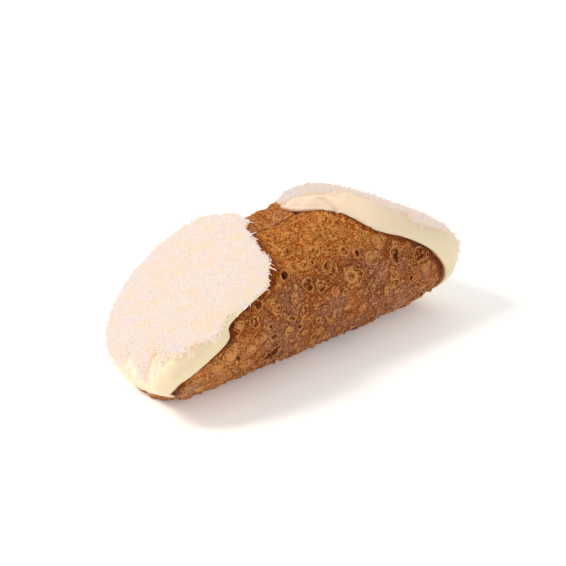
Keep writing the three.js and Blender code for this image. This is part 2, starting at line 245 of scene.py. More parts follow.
class RoundCurve:
    """A smooth closed curve through values at equal steps of a whole turn, the first at the top."""

    def __init__(self, values: Sequence[float]) -> None:
        """Keeps the values."""
        self.values = np.array(values, float)

    def __call__(self, angle: Array) -> Array:
        """Gives the curve's value at each angle in degrees."""
        count = len(self.values)
        position = (np.asarray(angle, float) + 180) / 360 * count
        i = np.floor(position).astype(int)
        t = position - i
        a, b, c, d = (self.values[(i + step) % count] for step in (-1, 0, 1, 2))
        return spline(a, b, c, d, t)


class LatticeNoise:
    """Smooth seeded noise in space, from -1 to 1, with the same values in every run."""

    SIDE = 32

    def __init__(self, seed: int) -> None:
        """Fills a repeating lattice with random values."""
        self.lattice = np.random.default_rng(seed).uniform(-1, 1, (self.SIDE,) * 3)

    def __call__(self, points: Array, size: float) -> Array:
        """Gives the noise at points, its lumps about size across.

        Args:
            points: Places in millimetres, kept in the last axis.
            size: The size of the lumps in millimetres.

        Returns:
            One value for each place.
        """
        position = points / size + 0.37
        whole = np.floor(position).astype(int)
        x, y, z = np.moveaxis(smoothstep(position - whole, 0.0, 1.0), -1, 0)
        i, j, k = np.moveaxis(whole, -1, 0)
        total = np.zeros(x.shape)
        for di, share_x in ((0, 1 - x), (1, x)):
            for dj, share_y in ((0, 1 - y), (1, y)):
                for dk, share_z in ((0, 1 - z), (1, z)):
                    corner = self.lattice[(i + di) % self.SIDE, (j + dj) % self.SIDE, (k + dk) % self.SIDE]
                    total += corner * share_x * share_y * share_z
        return total


# ---- The rolled sheet's plain form ----


@dataclass(frozen=True)
class TubeForm:
    """A sheet rolled once round into a tube, with one flap lapping over the other along the top."""

    radius: float = 20.0  # outside, at mid-length
    wall: float = 2.4
    clearance: float = 0.3  # between the two layers
    outer_share: float = 0.55  # of the wall, by which the outer layer stands out where they lap
    under_share: float = 0.45  # of the wall, by which the under layer gives way there
    lap_foot: tuple[float, float] = (-174.0, -148.0)  # angles where the outer layer comes down again
    rest_flat: float = 0.4  # how much of the round is pressed flat where it rests
    end_taper: float = 1.7
    taper_reach: float = 52.0
    flap_edge: float = -187.0  # free edge of the outer layer, in degrees
    under_edge: float = 188.0  # edge of the under layer
    flap_wave: float = 2.0  # degrees by which the free edge is drawn back
    wave_span: tuple[float, float] = (0.0, 6.0)  # places along the tube where that sets in
    wave_reach: float = 20.0  # degrees of the sheet that give way to it
    saddle: float = 1.2  # how far the top sags over the near half
    saddle_span: tuple[float, float] = (-8.0, 6.0)
    saddle_angles: tuple[float, float] = (125.0, 170.0)
    heel: float = 0.95  # how far the near end swells where it lies on the table
    heel_span: tuple[float, float] = (18.0, 34.0)  # distances from mid-length where the swelling sets in
    heel_end: tuple[float, float] = (41.0, 47.0)  # and where most of it goes again
    heel_angle: float = 12.0
    heel_width: float = 30.0
    raggedness: float = 0.45
    near_rim: SmoothCurve = field(
        default_factory=lambda: SmoothCurve(
            [
                (-193, 12.5), (-172, 13), (-150, 16.5), (-130, 23), (-110, 30.5), (-90, 36.5), (-65, 43),
                (-40, 46), (-16, 47.5), (0, 47.3), (16, 46.8), (30, 47.2), (50, 50.5), (63, 55), (73, 54.5),
                (92, 45.5), (112, 34), (130, 22.5), (160, 18), (188, 15.5),
            ]
        )
    )
    far_rim: SmoothCurve = field(
        default_factory=lambda: SmoothCurve(
            [
                (-193, 4.4), (-180, 4), (-171, 4.4), (-160, 7), (-148, 13), (-130, 23), (-110, 32),
                (-90, 41.5), (-65, 48), (0, 49), (30, 49.5), (58, 51), (72, 49.5), (97, 42.7), (114, 34.7),
                (133, 22.7), (142, 20.2), (156, 16.2), (168, 11.6), (176, 7), (188, 5.5),
            ]
        )
    )

    @property
    def axis_height(self) -> float:
        """Height of the tube's middle line over the table."""
        return self.radius - self.rest_flat

    def around(self, angle: Array, x: Array, radius: Array) -> Array:
        """Gives points at an angle and a distance from the tube's middle line."""
        a = np.radians(angle)
        y = -radius * np.sin(a)
        z = self.axis_height - radius * np.cos(a)
        return np.stack(np.broadcast_arrays(x, y, z), axis=-1)

    def polar(self, points: Array) -> tuple[Array, Array]:
        """Gives the angle and the distance from the middle line of each point."""
        down = self.axis_height - points[..., 2]
        angle = np.degrees(np.arctan2(-points[..., 1], down))
        return angle, np.hypot(points[..., 1], down)

    def outside(self, angle: Array, x: Array) -> Array:
        """Gives the outside radius of the sheet, without its blisters."""
        risen = 1 - smoothstep(angle, *self.lap_foot)
        lift = risen * (self.outer_share * self.wall + 0.5 * self.clearance)
        edge = self.flap_edge + 360 + self.flap_wave * smoothstep(x, *self.wave_span)
        pressed = smoothstep(angle - edge, -0.5 - 3.0 * self.gape(x), -0.2)
        drop = pressed * (self.under_share * self.wall + 0.5 * self.clearance)
        sag = self.saddle * (1 - smoothstep(x, *self.saddle_span))
        sag = sag * smoothstep(np.abs(angle), *self.saddle_angles)
        heel = self.heel * smoothstep(-x, *self.heel_span) * (1 - 0.6 * smoothstep(-x, *self.heel_end))
        heel = heel * bell(angle - self.heel_angle, self.heel_width)
        return self.radius - self.end_taper * (np.abs(x) / self.taper_reach) ** 4 + lift - drop - sag + heel

    def gape(self, x: Array) -> Array:
        """Tells how far the lap came open here and there along the tube, 1 at most."""
        slow, quick = np.sin(1.5 * x + 0.6), np.sin(3.7 * x)
        return np.clip(0.45 + 0.45 * slow + 0.3 * quick, 0.05, 1.0)

    def drawn_back(self, angle: Array, x: Array) -> Array:
        """Draws the free edge back towards its far corner."""
        towards_edge = 1 - smoothstep(angle, self.flap_edge, self.flap_edge + self.wave_reach)
        return angle + towards_edge * self.flap_wave * smoothstep(x, *self.wave_span)

    def ragged(self, angle: Array, phase: float) -> Array:
        """Gives the small uneven steps of a broken edge."""
        coarse = np.sin(np.radians(angle * 17) + phase)
        fine = 0.7 * np.sin(np.radians(angle * 31) + 2.3 * phase)
        return self.raggedness * 0.6 * (coarse + fine)

    def ends(self, angle: Array) -> tuple[Array, Array]:
        """Gives x of the near rim and of the far rim at each angle."""
        near = -self.near_rim(angle) - self.ragged(angle, 0.4)
        far = self.far_rim(angle) + self.ragged(angle, 1.9)
        return near, far


# ---- Blisters ----


class BlisterKind(Enum):
    """What became of a bubble that the frying raised in the dough."""

    DOME = "closed, smooth and round"
    CRATER = "burst, with a hollow inside a raised ring"
    HOLE = "a small deep hole"
    CRUMBLED = "burst, with crumbs and pits left inside"
    DOUBLE = "burst twice, one ring inside another"
    TEAR = "a long crack between two raised folds"


# The darkest and lightest shade of each kind's inside, from -1 for grey and bare to 1 for pale and crumbly.
INSIDE_SHADE = {
    BlisterKind.DOME: (-0.3, 1.0),
    BlisterKind.CRATER: (-1.0, -0.2),
    BlisterKind.HOLE: (-0.4, 0.4),
    BlisterKind.CRUMBLED: (0.0, 1.0),
    BlisterKind.DOUBLE: (0.4, 1.0),
    BlisterKind.TEAR: (-0.8, -0.2),
}
# How many of twenty small blisters are of each kind.
KINDS_OF_TWENTY = {
    BlisterKind.DOME: 7,
    BlisterKind.CRATER: 4,
    BlisterKind.CRUMBLED: 7,
    BlisterKind.HOLE: 1,
    BlisterKind.DOUBLE: 1,
}


@dataclass(frozen=True)
class Blister:
    """One bubble in the dough, placed on the tube.

    heading is the direction of its long side in degrees, from the tube's length towards its top, and slim
    is its width as a share of its length.
    """

    angle: float
    x: float
    radius: float
    kind: BlisterKind
    heading: float = 0.0
    slim: float = 1.0


@dataclass
class Relief:
    """What the frying did to the dough's surface, one value for each point."""

    height: Array  # over the plain sheet, in millimetres
    outline: Array  # distance to the nearest blister's outline, negative inside it
    burst: Array  # 1 in a burst blister, 0 in a closed one
    pit: Array  # 1 in a hole, which the finish darkens as painted shade
    tone: Array  # the shade inside each blister, from -1 to 1
    crest: Array  # 1 on the fine crinkles between the blisters, whose tops the finish lightens as painted highlight


def named_blisters() -> list[Blister]:
    """Lists the blisters that stand out on the side that shows."""
    rows = {
        BlisterKind.CRATER: (
            (117, 2, 2.6), (111, -7, 2.2), (120, 13, 1.6), (92, -9.5, 1.9), (108, 26.5, 2.6),
            (100, 36.5, 2.6), (111, -25.5, 1.9), (126, -3, 1.2), (88, 17, 1.2), (82, 33, 1.5), (97, 40, 1.3),
        ),
        BlisterKind.DOUBLE: ((104, 9.4, 3.4), (91, 25.6, 1.8)),
        BlisterKind.HOLE: (
            (124, -14, 1.9), (93, 35, 1.1), (71, -32, 1.2), (80, -11, 1.3), (80, -20.5, 1.4), (55, -32, 1.2),
        ),
        BlisterKind.CRUMBLED: (
            (106, -2.6, 2.1), (126, -6.5, 1.7), (125, 8.7, 1.7), (112, 17.6, 2.5), (133, -0.4, 1.8),
            (102, 16.7, 1.0), (113, -11.2, 1.0), (102, -19.6, 1.6), (123, 22.2, 2.4), (99, -27.8, 1.9),
            (91, -22.1, 1.3), (80, -15, 1.7), (100, -32.7, 1.9), (70, -39.2, 2.2), (77, -28.7, 2.0),
            (88, 11.6, 1.3),
        ),
        BlisterKind.DOME: (
            (120, -17, 1.6), (92, -5, 1.4), (86, 40, 2.2), (112, 29.7, 1.3), (108, -21.3, 2.1),
            (88, -17.4, 1.0), (84, -25.5, 2.2), (61, -28.7, 2.2), (81, -35.6, 2.8), (58, -10.5, 1.6),
            (131, 5.4, 0.9), (98, 2.5, 1.8), (72, 2, 1.8), (64, -2, 2.2),
        ),
    }
    tear = Blister(63, -20.6, 4.4, BlisterKind.TEAR, heading=36, slim=0.42)
    return [tear] + [Blister(*row, kind) for kind, group in rows.items() for row in group]


@dataclass
class BlisterField:
    """All the blisters of one sheet of dough, the named ones and small ones between them."""

    tube: TubeForm
    count: int = 950  # blisters in all
    smallest: float = 0.5
    largest: float = 2.3
    widest_hole: float = 0.9
    smallness: float = 2.2  # how far small ones outnumber large ones
    nearness: float = 0.85  # how close two may stand, as a share of their radii
    sparseness: float = 0.6  # share left out where the dough is grainy
    edge_room: float = 6.0  # degrees kept clear along the free edge
    last_angle: float = 166.0
    span: tuple[float, float] = (-54.0, 52.0)  # places along the tube that are tried
    rim_room: float = 0.5
    slimmest: float = 0.62
    grainy_from: tuple[float, float] = (110.0, 130.0)  # angles over which the dough turns grainy
    grainy_lean: float = 0.12  # degrees by which they move for each millimetre along the tube
    room: float = 4.0  # distance to an outline from which on the dough counts as plain
    highest: float = 0.95
    tries: int = 8  # places tried for each blister
    seed: int = 21
    blisters: list[Blister] = field(default_factory=named_blisters)

    def __post_init__(self) -> None:
        """Spreads the small blisters over the sheet, none over another, fewer where the dough is grainy."""
        random = np.random.default_rng(self.seed)
        kinds = [kind for kind, number in KINDS_OF_TWENTY.items() for _ in range(number)]
        for _ in range(self.count * self.tries):
            angle = random.uniform(self.tube.flap_edge + self.edge_room, self.last_angle)
            x = random.uniform(*self.span)
            size, chance, pick = random.uniform(size=3)
            heading, slim = random.uniform(-90, 90), random.uniform(self.slimmest, 1.0)
            radius = float(lerp(self.smallest, self.largest, size**self.smallness))
            near, far = self.tube.ends(angle)
            inside = near + self.rim_room < x < far - self.rim_room
            if not inside or self.crowded(angle, x, radius):
                continue
            if chance < self.sparseness * float(self.graininess(np.float64(angle), np.float64(x))):
                continue
            kind = kinds[int(pick * len(kinds))]
            if kind is BlisterKind.HOLE:
                radius = min(radius, self.widest_hole)
            self.blisters.append(Blister(angle, x, radius, kind, heading, slim))
            if len(self.blisters) >= self.count:
                break

    def crowded(self, angle: float, x: float, radius: float) -> bool:
        """Tells whether a blister there would lie over another."""
        for other in self.blisters:
            across = self.tube.radius * math.radians(angle - other.angle)
            if math.hypot(across, x - other.x) < self.nearness * (radius + other.radius):
                return True
        return False

    def graininess(self, angle: Array, x: Array) -> Array:
        """Tells how grainy the dough is, from 0 on the smooth sides to 1 along the top."""
        return smoothstep(np.abs(angle) - self.grainy_lean * x, *self.grainy_from)

    def relief(self, angle: Array, x: Array) -> Relief:
        """Works out the surface at places on the sheet.

        Args:
            angle: Angles round the tube.
            x: Places along it.

        Returns:
            The height and the masks of the blisters there.
        """
        random = np.random.default_rng(self.seed + 1)
        made = Relief(*(np.zeros(angle.shape) for _ in range(6)))
        made.outline += self.room
        place = self.tube.around(angle, x, self.tube.radius)
        bent = 0.2 * LatticeNoise(self.seed + 2)(place, 1.5)
        uneven = 0.75 + 0.55 * LatticeNoise(self.seed + 3)(place, 1.6)
        crumbs = LatticeNoise(self.seed + 4)(place, 0.75)
        order = np.argsort(x, kind="stable")
        sorted_x = x[order]
        for blister in self.blisters:
            phases = random.uniform(0, 2 * math.pi, 4)
            tone, pit_size = random.uniform(*INSIDE_SHADE[blister.kind]), random.uniform(0.16, 0.3)
            pits = random.uniform(-0.5, 0.5, (3, 2)) * blister.radius
            reach = 1.4 * blister.radius + 1.2
            first, last = np.searchsorted(sorted_x, [blister.x - reach, blister.x + reach])
            near = order[first:last]
            across = self.tube.radius * np.radians(angle[near] - blister.angle)
            near, across = near[np.abs(across) < reach], across[np.abs(across) < reach]
            if not len(near):
                continue
            along = x[near] - blister.x
            turn = math.radians(blister.heading)
            u = along * math.cos(turn) + across * math.sin(turn)
            v = (across * math.cos(turn) - along * math.sin(turn)) / blister.slim
            bearing = np.arctan2(v, u)
            lobes = 0.09 * np.cos(2 * bearing - phases[0]) + 0.07 * np.cos(3 * bearing - phases[1])
            lobes += 0.04 * np.cos(5 * bearing - phases[2]) + bent[near]
            share = np.hypot(u, v) / (blister.radius * (1 + lobes))
            outline = (share - 1) * blister.radius * (0.5 + 0.5 * blister.slim)
            pit_distance = [np.hypot(u - pu, v - pv) / (pit_size * blister.radius) for pu, pv in pits]
            height, pit = blister_profile(blister, share, outline, pit_distance, uneven[near], crumbs[near])
            made.height[near] += height
            nearest = outline < made.outline[near]
            closest = near[nearest]
            made.outline[closest] = outline[nearest]
            made.burst[closest] = float(blister.kind is not BlisterKind.DOME)
            made.tone[closest] = tone
            if blister.kind is BlisterKind.CRATER:
                bare = bell(pit_distance[0], 2.6)[nearest]
                made.tone[closest] = tone * (1.9 * bare - 0.7)
            made.pit[near] = np.maximum(made.pit[near], pit)
            if blister.kind is BlisterKind.DOUBLE:
                second = bell((share - 0.55) * blister.radius, 0.5)
                made.crest[near] = np.maximum(made.crest[near], 0.9 * second)
        return self.with_grain(made, place, angle, x)

    def with_grain(self, made: Relief, place: Array, angle: Array, x: Array) -> Relief:
        """Adds crinkles, crumbs and broad dents between the blisters."""
        grainy = self.graininess(angle, x)
        outside = smoothstep(made.outline, -0.3, 0.3)
        worms = bell(LatticeNoise(3)(place, 1.7), 0.2)
        patches = smoothstep(LatticeNoise(4)(place, 4.0), -0.3, 0.35)
        creases = bell(LatticeNoise(5)(place * (0.4, 1, 1), 1.5), 0.22)
        creased = smoothstep(x, 14, 34) * (1 - smoothstep(angle, 62, 88)) * smoothstep(angle, -90, -60)
        crumbs = LatticeNoise(6)(place, 0.8)
        crinkle = np.maximum(worms * lerp(0.45 * patches, 0.5 + 0.5 * patches, grainy), creases * creased)
        made.height += outside * (0.46 * crinkle * (0.4 + 0.6 * np.maximum(grainy, creased)))
        made.height += lerp(0.06, 0.16, grainy) * crumbs + 0.28 * LatticeNoise(7)(place, 7.0) - 0.05
        made.height += 0.3 * grainy * outside * LatticeNoise(8)(place, 2.3)
        under = smoothstep(angle, 9, 15) * (1 - smoothstep(angle, 34, 50))
        made.height += under * (0.6 * LatticeNoise(9)(place, 2.6) + 0.25 * LatticeNoise(10)(place, 1.1))
        # crest marks where the finish paints a highlight on the crinkle tops.
        made.crest = np.clip(np.maximum(made.crest, crinkle * outside + 0.3 * crumbs * grainy), 0, 1)
        return made


def blister_profile(
    blister: Blister, share: Array, outline: Array, pits: Sequence[Array], uneven: Array, crumbs: Array
) -> tuple[Array, Array]:
    """Gives the height and the dark holes of one blister.

    Args:
        blister: The blister.
        share: Distance from its middle, 1 on its outline.
        outline: Distance to its outline in millimetres, negative inside.
        pits: Distances to the places of its pits, 1 on their edges.
        uneven: How high its ring stands, from place to place.
        crumbs: Fine noise.

    Returns:
        The height in millimetres, and the holes' painted shade from 0 to 1.
    """
    size = blister.radius
    ring = uneven * (0.27 + 0.21 * size) * bell(outline + 0.45, 0.4)
    swell = 0.12 * bell(np.maximum(outline, 0), 0.7)
    moat = 0.15 * bell(outline - 0.14, 0.24)
    if blister.kind is BlisterKind.DOME:
        dome = (0.2 + 0.28 * size) * np.clip(1 - share**2, 0, 1) ** 0.7 * (1 + 0.3 * crumbs)
        return dome - moat, np.zeros(share.shape)
    inside = 1 - smoothstep(outline, -1.1, -0.55)
    if blister.kind is BlisterKind.HOLE:
        slit = 1 - smoothstep(np.minimum(pits[0] * 0.7, share * 1.7), 0.45, 0.95)
        return ring + swell - moat - 1.2 * slit, slit
    if blister.kind is BlisterKind.TEAR:
        crack = 1 - smoothstep(share + 0.12 * crumbs, 0.3, 0.62)
        return 1.5 * ring + swell - 1.3 * crack, 0.95 * smoothstep(crack, 0.2, 0.7)
    if blister.kind is BlisterKind.CRATER:
        side = bell(pits[0], 2.0)
        depth = (0.14 + 0.12 * size + 0.16 * crumbs) * inside + 0.35 * side * inside
        return ring + swell - moat - depth, 0.75 * inside * smoothstep(side + 0.3 * crumbs, 0.75, 1.05)
    if blister.kind is BlisterKind.DOUBLE:
        second = bell((share - 0.52) * size, 0.34) * uneven
        middle = 1 - smoothstep(share, 0.2, 0.45)
        depth = (0.14 + 0.2 * crumbs) * inside + 0.2 * middle
        return ring + swell - moat + 0.26 * second - depth, 0.6 * middle * smoothstep(crumbs, -0.5, 0.3)
    holes = np.max([bell(p, 1.0) for p in pits], axis=0) * inside
    rough = (0.26 * crumbs - 0.04) * inside
    return 0.9 * ring + swell - moat - rough - 0.4 * holes, 0.6 * smoothstep(holes, 0.72, 1.0)


# ---- Finishes ----

EASE = "EASE"  # a formula's operation that goes smoothly from 0 at one number to 1 at another
Formula = str | float | Socket | tuple


def worked_out(tree: bpy.types.NodeTree, known: Mapping[str, Socket], formula: Formula) -> Socket | float:
    """Adds the nodes that work out a formula.

    Args:
        tree: The node tree that takes the nodes.
        known: The sockets that the formula may name.
        formula: A name, a number or a socket, or else a tuple of an operation and its inputs, each of them
            a formula. Inputs after the second are taken in from the left. An EASE has a value, where it
            starts and where it ends, and then what it gives there if that isn't 0 and 1.

    Returns:
        The result's socket, or the number itself.
    """
    if isinstance(formula, str):
        return known[formula]
    if not isinstance(formula, tuple):
        return formula
    operation = formula[0]
    fed = [worked_out(tree, known, part) for part in formula[1:]]
    if operation == EASE:
        links = dict(zip(("Value", "From Min", "From Max", "To Min", "To Max"), fed))
        return add_node(tree, "ShaderNodeMapRange", links, interpolation_type="SMOOTHSTEP")
    total = add_node(tree, "ShaderNodeMath", dict(enumerate(fed[:2])), operation=operation)
    for more in fed[2:]:
        total = add_node(tree, "ShaderNodeMath", {0: total, 1: more}, operation=operation)
    return total


def layered(
    tree: bpy.types.NodeTree, base: Socket | str, layers: Sequence[tuple[Socket, Socket | str]]
) -> Socket:
    """Lays colours one over another.

    Args:
        tree: The node tree that takes the nodes.
        base: The lowest colour, as a socket or an sRGB hex colour.
        layers: For each colour over it, the share that shows and the colour.

    Returns:
        The colour that comes of it.
    """
    colour = linear(base) if isinstance(base, str) else base
    for share, over in layers:
        links = {0: share, 6: colour, 7: linear(over) if isinstance(over, str) else over}
        colour = add_node(tree, "ShaderNodeMix", links, 2, data_type="RGBA")
    return colour


def in_millimetres(tree: bpy.types.NodeTree) -> Socket:
    """Adds the nodes that give each place on a piece in millimetres."""
    place = add_node(tree, "ShaderNodeTexCoord", {}, "Object")
    return add_node(tree, "ShaderNodeVectorMath", {"Vector": place, "Scale": 1 / MM}, operation="SCALE")


class Finish:
    """A real material, with the surface that its making gave it."""

    name: ClassVar[str]
    marks: ClassVar[tuple[str, ...]]  # the values kept with each vertex that it reads
    ior: float
    specular: float

    def shaded(self, tree: bpy.types.NodeTree, known: dict[str, Socket]) -> Links:
        """Adds the finish's own nodes.

        Args:
            tree: The node tree that takes the nodes.
            known: The values kept with each vertex, by name. More may be added.

        Returns:
            What the nodes feed to the shader's inputs.
        """
        raise NotImplementedError

    def material(self) -> bpy.types.Material:
        """Builds the material."""
        made = bpy.data.materials.new(self.name)
        made.use_nodes = True
        tree = made.node_tree
        tree.nodes.clear()
        known = {
            mark: add_node(tree, "ShaderNodeAttribute", {}, "Fac", attribute_name=mark) for mark in self.marks
        }
        links = {"IOR": self.ior, "Specular IOR Level": self.specular, **self.shaded(tree, known)}
        shader = add_node(tree, "ShaderNodeBsdfPrincipled", links)
        add_node(tree, "ShaderNodeOutputMaterial", {"Surface": shader})
        return made


# The crust's grains: size in millimetres, detail and distortion.
CRUST_GRAINS: Mapping[str, tuple[float, float, float]] = {
    "blotch": (11.0, 2.0, 0.3),  # patches that browned more or less
    "patch": (3.2, 3.0, 0.6),
    "crumb": (0.7, 4.0, 0.6),  # real crumbs are finer, drawn coarser to show
    "fleck": (1.3, 4.0, 0.9),
    "curl": (2.0, 2.0, 1.2),
    "sand": (0.4, 2.0, 0.0),
    "spark": (0.55, 1.0, 0.0),
    "break": (1.1, 1.0, 0.4),
}
# What the grains and the blisters' masks come to. Each formula may name those before it.
CRUST_FORMULAS: Mapping[str, Formula] = {
    "thread": (EASE, ("ABSOLUTE", ("SUBTRACT", "curl", 0.5)), 0.06, 0.0),  # fine crinkles of crust
    "edge": ("ADD", "outline", ("MULTIPLY", ("SUBTRACT", "crumb", 0.5), 0.9)),  # a blister's frayed outline
    "grit": ("SUBTRACT", "sand", 0.5),
    "painted_glint": (EASE, "spark", 0.6, 0.72),  # painted glints on the crumbs, standing in for the sheen of oil
    "pad": (EASE, "edge", 0.2, -0.35),
    "inside": ("MULTIPLY", (EASE, "edge", -0.6, -1.0), "burst"),
    "broken": (EASE, "break", 0.4, 0.56),  # thin walls tear, so that a ring is seldom whole
    # A burst blister's pale thin wall; its brightness is partly painted highlight.
    "ring": (
        "MULTIPLY",
        (EASE, ("ABSOLUTE", ("ADD", "edge", 0.4)), 0.42, 0.06),
        ("ADD", ("MULTIPLY", "burst", 0.7), 0.3),
        ("ADD", ("MULTIPLY", "broken", 0.8), 0.2),
    ),
    # Painted shadow along the inner wall of a burst blister.
    "inner_wall_shadow": (
        "MULTIPLY",
        (EASE, ("ABSOLUTE", ("ADD", "edge", 0.95)), 0.36, 0.05),
        "burst",
        ("SUBTRACT", 1.15, "broken"),
    ),
    "moat": (EASE, ("ABSOLUTE", ("SUBTRACT", "edge", 0.2)), 0.36, 0.05),  # the groove round a blister's outline, darkened here as painted shade
    # A blister's middle, made lighter as painted highlight on its dome.
    "top": (EASE, "edge", -0.2, -1.5),
    "rough": ("MINIMUM", ("ADD", 0.2, ("MULTIPLY", "grainy", 0.45), ("MULTIPLY", "pad", 0.9)), 1.15),
    "browned": (
        "MAXIMUM",
        (
            "MULTIPLY",
            (EASE, "blotch", 0.42, 0.6),
            ("SUBTRACT", 0.9, "grainy"),
            ("SUBTRACT", 1.0, ("MULTIPLY", "pad", 0.75)),
        ),
        ("MULTIPLY", "inside", (EASE, "tone", 0.0, -0.7), 0.8),
    ),
    # Painted shade in the holes.
    "hole_shade_share": ("MULTIPLY", "pit", 0.85),
    "rise": (
        "ADD",
        ("MULTIPLY", ("ADD", "crumb", ("MULTIPLY", "fleck", 0.6)), ("ADD", "rough", 0.2)),
        ("MULTIPLY", "ring", 0.5),
        "grit",
        "grit",
        ("MULTIPLY", "thread", 0.3),
        ("MULTIPLY", "moat", -0.2),
    ),
}
# What makes the crust paler, or darker where the number is negative: its own colours, and painted light and
# shade, as marked.
CRUST_SHADES: tuple[tuple[Formula, float], ...] = (
    (("MULTIPLY", ("SUBTRACT", "crumb", 0.5), "rough"), 1.3),
    (("MULTIPLY", ("SUBTRACT", "fleck", 0.5), "rough"), 0.8),
    (("SUBTRACT", "patch", 0.5), 0.5),
    (("SUBTRACT", "blotch", 0.5), 0.3),
    ("pad", 0.14),
    # Painted highlight on blister tops.
    ("top", 0.08),
    # Pale walls, partly painted highlight.
    ("ring", 0.6),
    # Painted shadow inside burst blisters.
    ("inner_wall_shadow", -0.85),
    # Painted shade in the groove round each blister.
    ("moat", -0.04),
    # Lighter crinkle tops: painted highlight.
    ("crest", 0.4),
    (("MULTIPLY", "thread", ("ADD", ("MULTIPLY", "grainy", 0.85), 0.15)), 0.36),
    (("MULTIPLY", "inside", ("SUBTRACT", "fleck", 0.5)), 1.0),
    (("MULTIPLY", "inside", "tone"), 0.6),
    (("MULTIPLY", "pad", "tone"), 0.08),
    ("grit", 2.3),
    # Painted glints.
    (("MULTIPLY", "painted_glint", ("ADD", ("MULTIPLY", "grainy", 0.65), 0.35)), 0.36),
    # Painted light on the near half's lower side and on the broken rims.
    ("pale", 0.28),
    # Oil stain and painted shadow along the cream's edge.
    ("oil_and_shadow", -0.75),
    # Painted shade in the holes.
    ("pit", -0.3),
)


@dataclass(frozen=True)
class FriedDough(Finish):
    """Wheat dough fried in deep fat: a dry, blistered crust with a thin film of oil.

    The eye sees a brown that runs from orange on top to grey-brown below, pale thin walls round burst
    blisters, dark hollows inside them, and a grain of tiny crumbs. Part of this is painted light: highlights
    on the walls, the crinkles and the domes, glints for the oil, shade in the holes, grooves and hollows and
    along the cream's edge, and light on the near half's lower side.
    """

    name: ClassVar[str] = "fried_dough"
    marks: ClassVar[tuple[str, ...]] = (
        "outline", "burst", "pit", "crest", "tone", "grainy", "oil_and_shadow", "pale", "charred",
    )
    orange: tuple[str, str, str] = ("#8a3c00", "#ba641c", "#eaa156")  # dark, middle and light, on top
    brown: tuple[str, str, str] = ("#7a3405", "#b36126", "#e8a460")  # on the sides
    grey: tuple[str, str, str] = ("#6f3a21", "#a06140", "#dba275")  # where the sides browned most
    # Painted shade in the holes.
    hole: str = "#2c1004"
    char: str = "#2b1c12"
    shade: float = 0.39  # of plain crust, from 0 for the darkest to 1 for the palest
    ior: float = 1.45
    specular: float = 0.16
    oiliest: float = 0.48  # roughness where the film of oil is thickest
    driest: float = 0.7
    relief: float = 0.5  # height of the finest grain, in millimetres

    def shaded(self, tree: bpy.types.NodeTree, known: dict[str, Socket]) -> Links:
        """Adds the crust's own nodes.

        Args:
            tree: The node tree that takes the nodes.
            known: The masks of the blisters, by name. Grains and formulas are added.

        Returns:
            What the nodes feed to the shader's inputs.
        """
        mm = in_millimetres(tree)
        for name, (size, detail, distortion) in CRUST_GRAINS.items():
            links = {"Vector": mm, "Scale": 1 / size, "Detail": detail, "Distortion": distortion}
            known[name] = add_node(tree, "ShaderNodeTexNoise", links)
        for name, formula in CRUST_FORMULAS.items():
            known[name] = worked_out(tree, known, formula)
        shade: Formula = self.shade
        for part, weight in CRUST_SHADES:
            shade = ("ADD", ("MULTIPLY", part, weight), shade)
        shade = worked_out(tree, known, shade)
        darker = worked_out(tree, known, (EASE, shade, 0.0, 0.5))
        lighter = worked_out(tree, known, (EASE, shade, 0.42, 1.0))
        brown, orange, grey = (
            layered(tree, dark, [(darker, middle), (lighter, light)])
            for dark, middle, light in (self.brown, self.orange, self.grey)
        )
        layers = [
            (known["grainy"], orange),
            (known["browned"], grey),
            (known["hole_shade_share"], self.hole),
            (known["charred"], self.char),
        ]
        links = {"Height": known["rise"], "Strength": 1.0, "Distance": self.relief * MM}
        return {
            "Base Color": layered(tree, brown, layers),
            "Roughness": worked_out(tree, known, (EASE, "patch", 0.3, 0.7, self.driest, self.oiliest)),
            "Normal": add_node(tree, "ShaderNodeBump", links),
        }


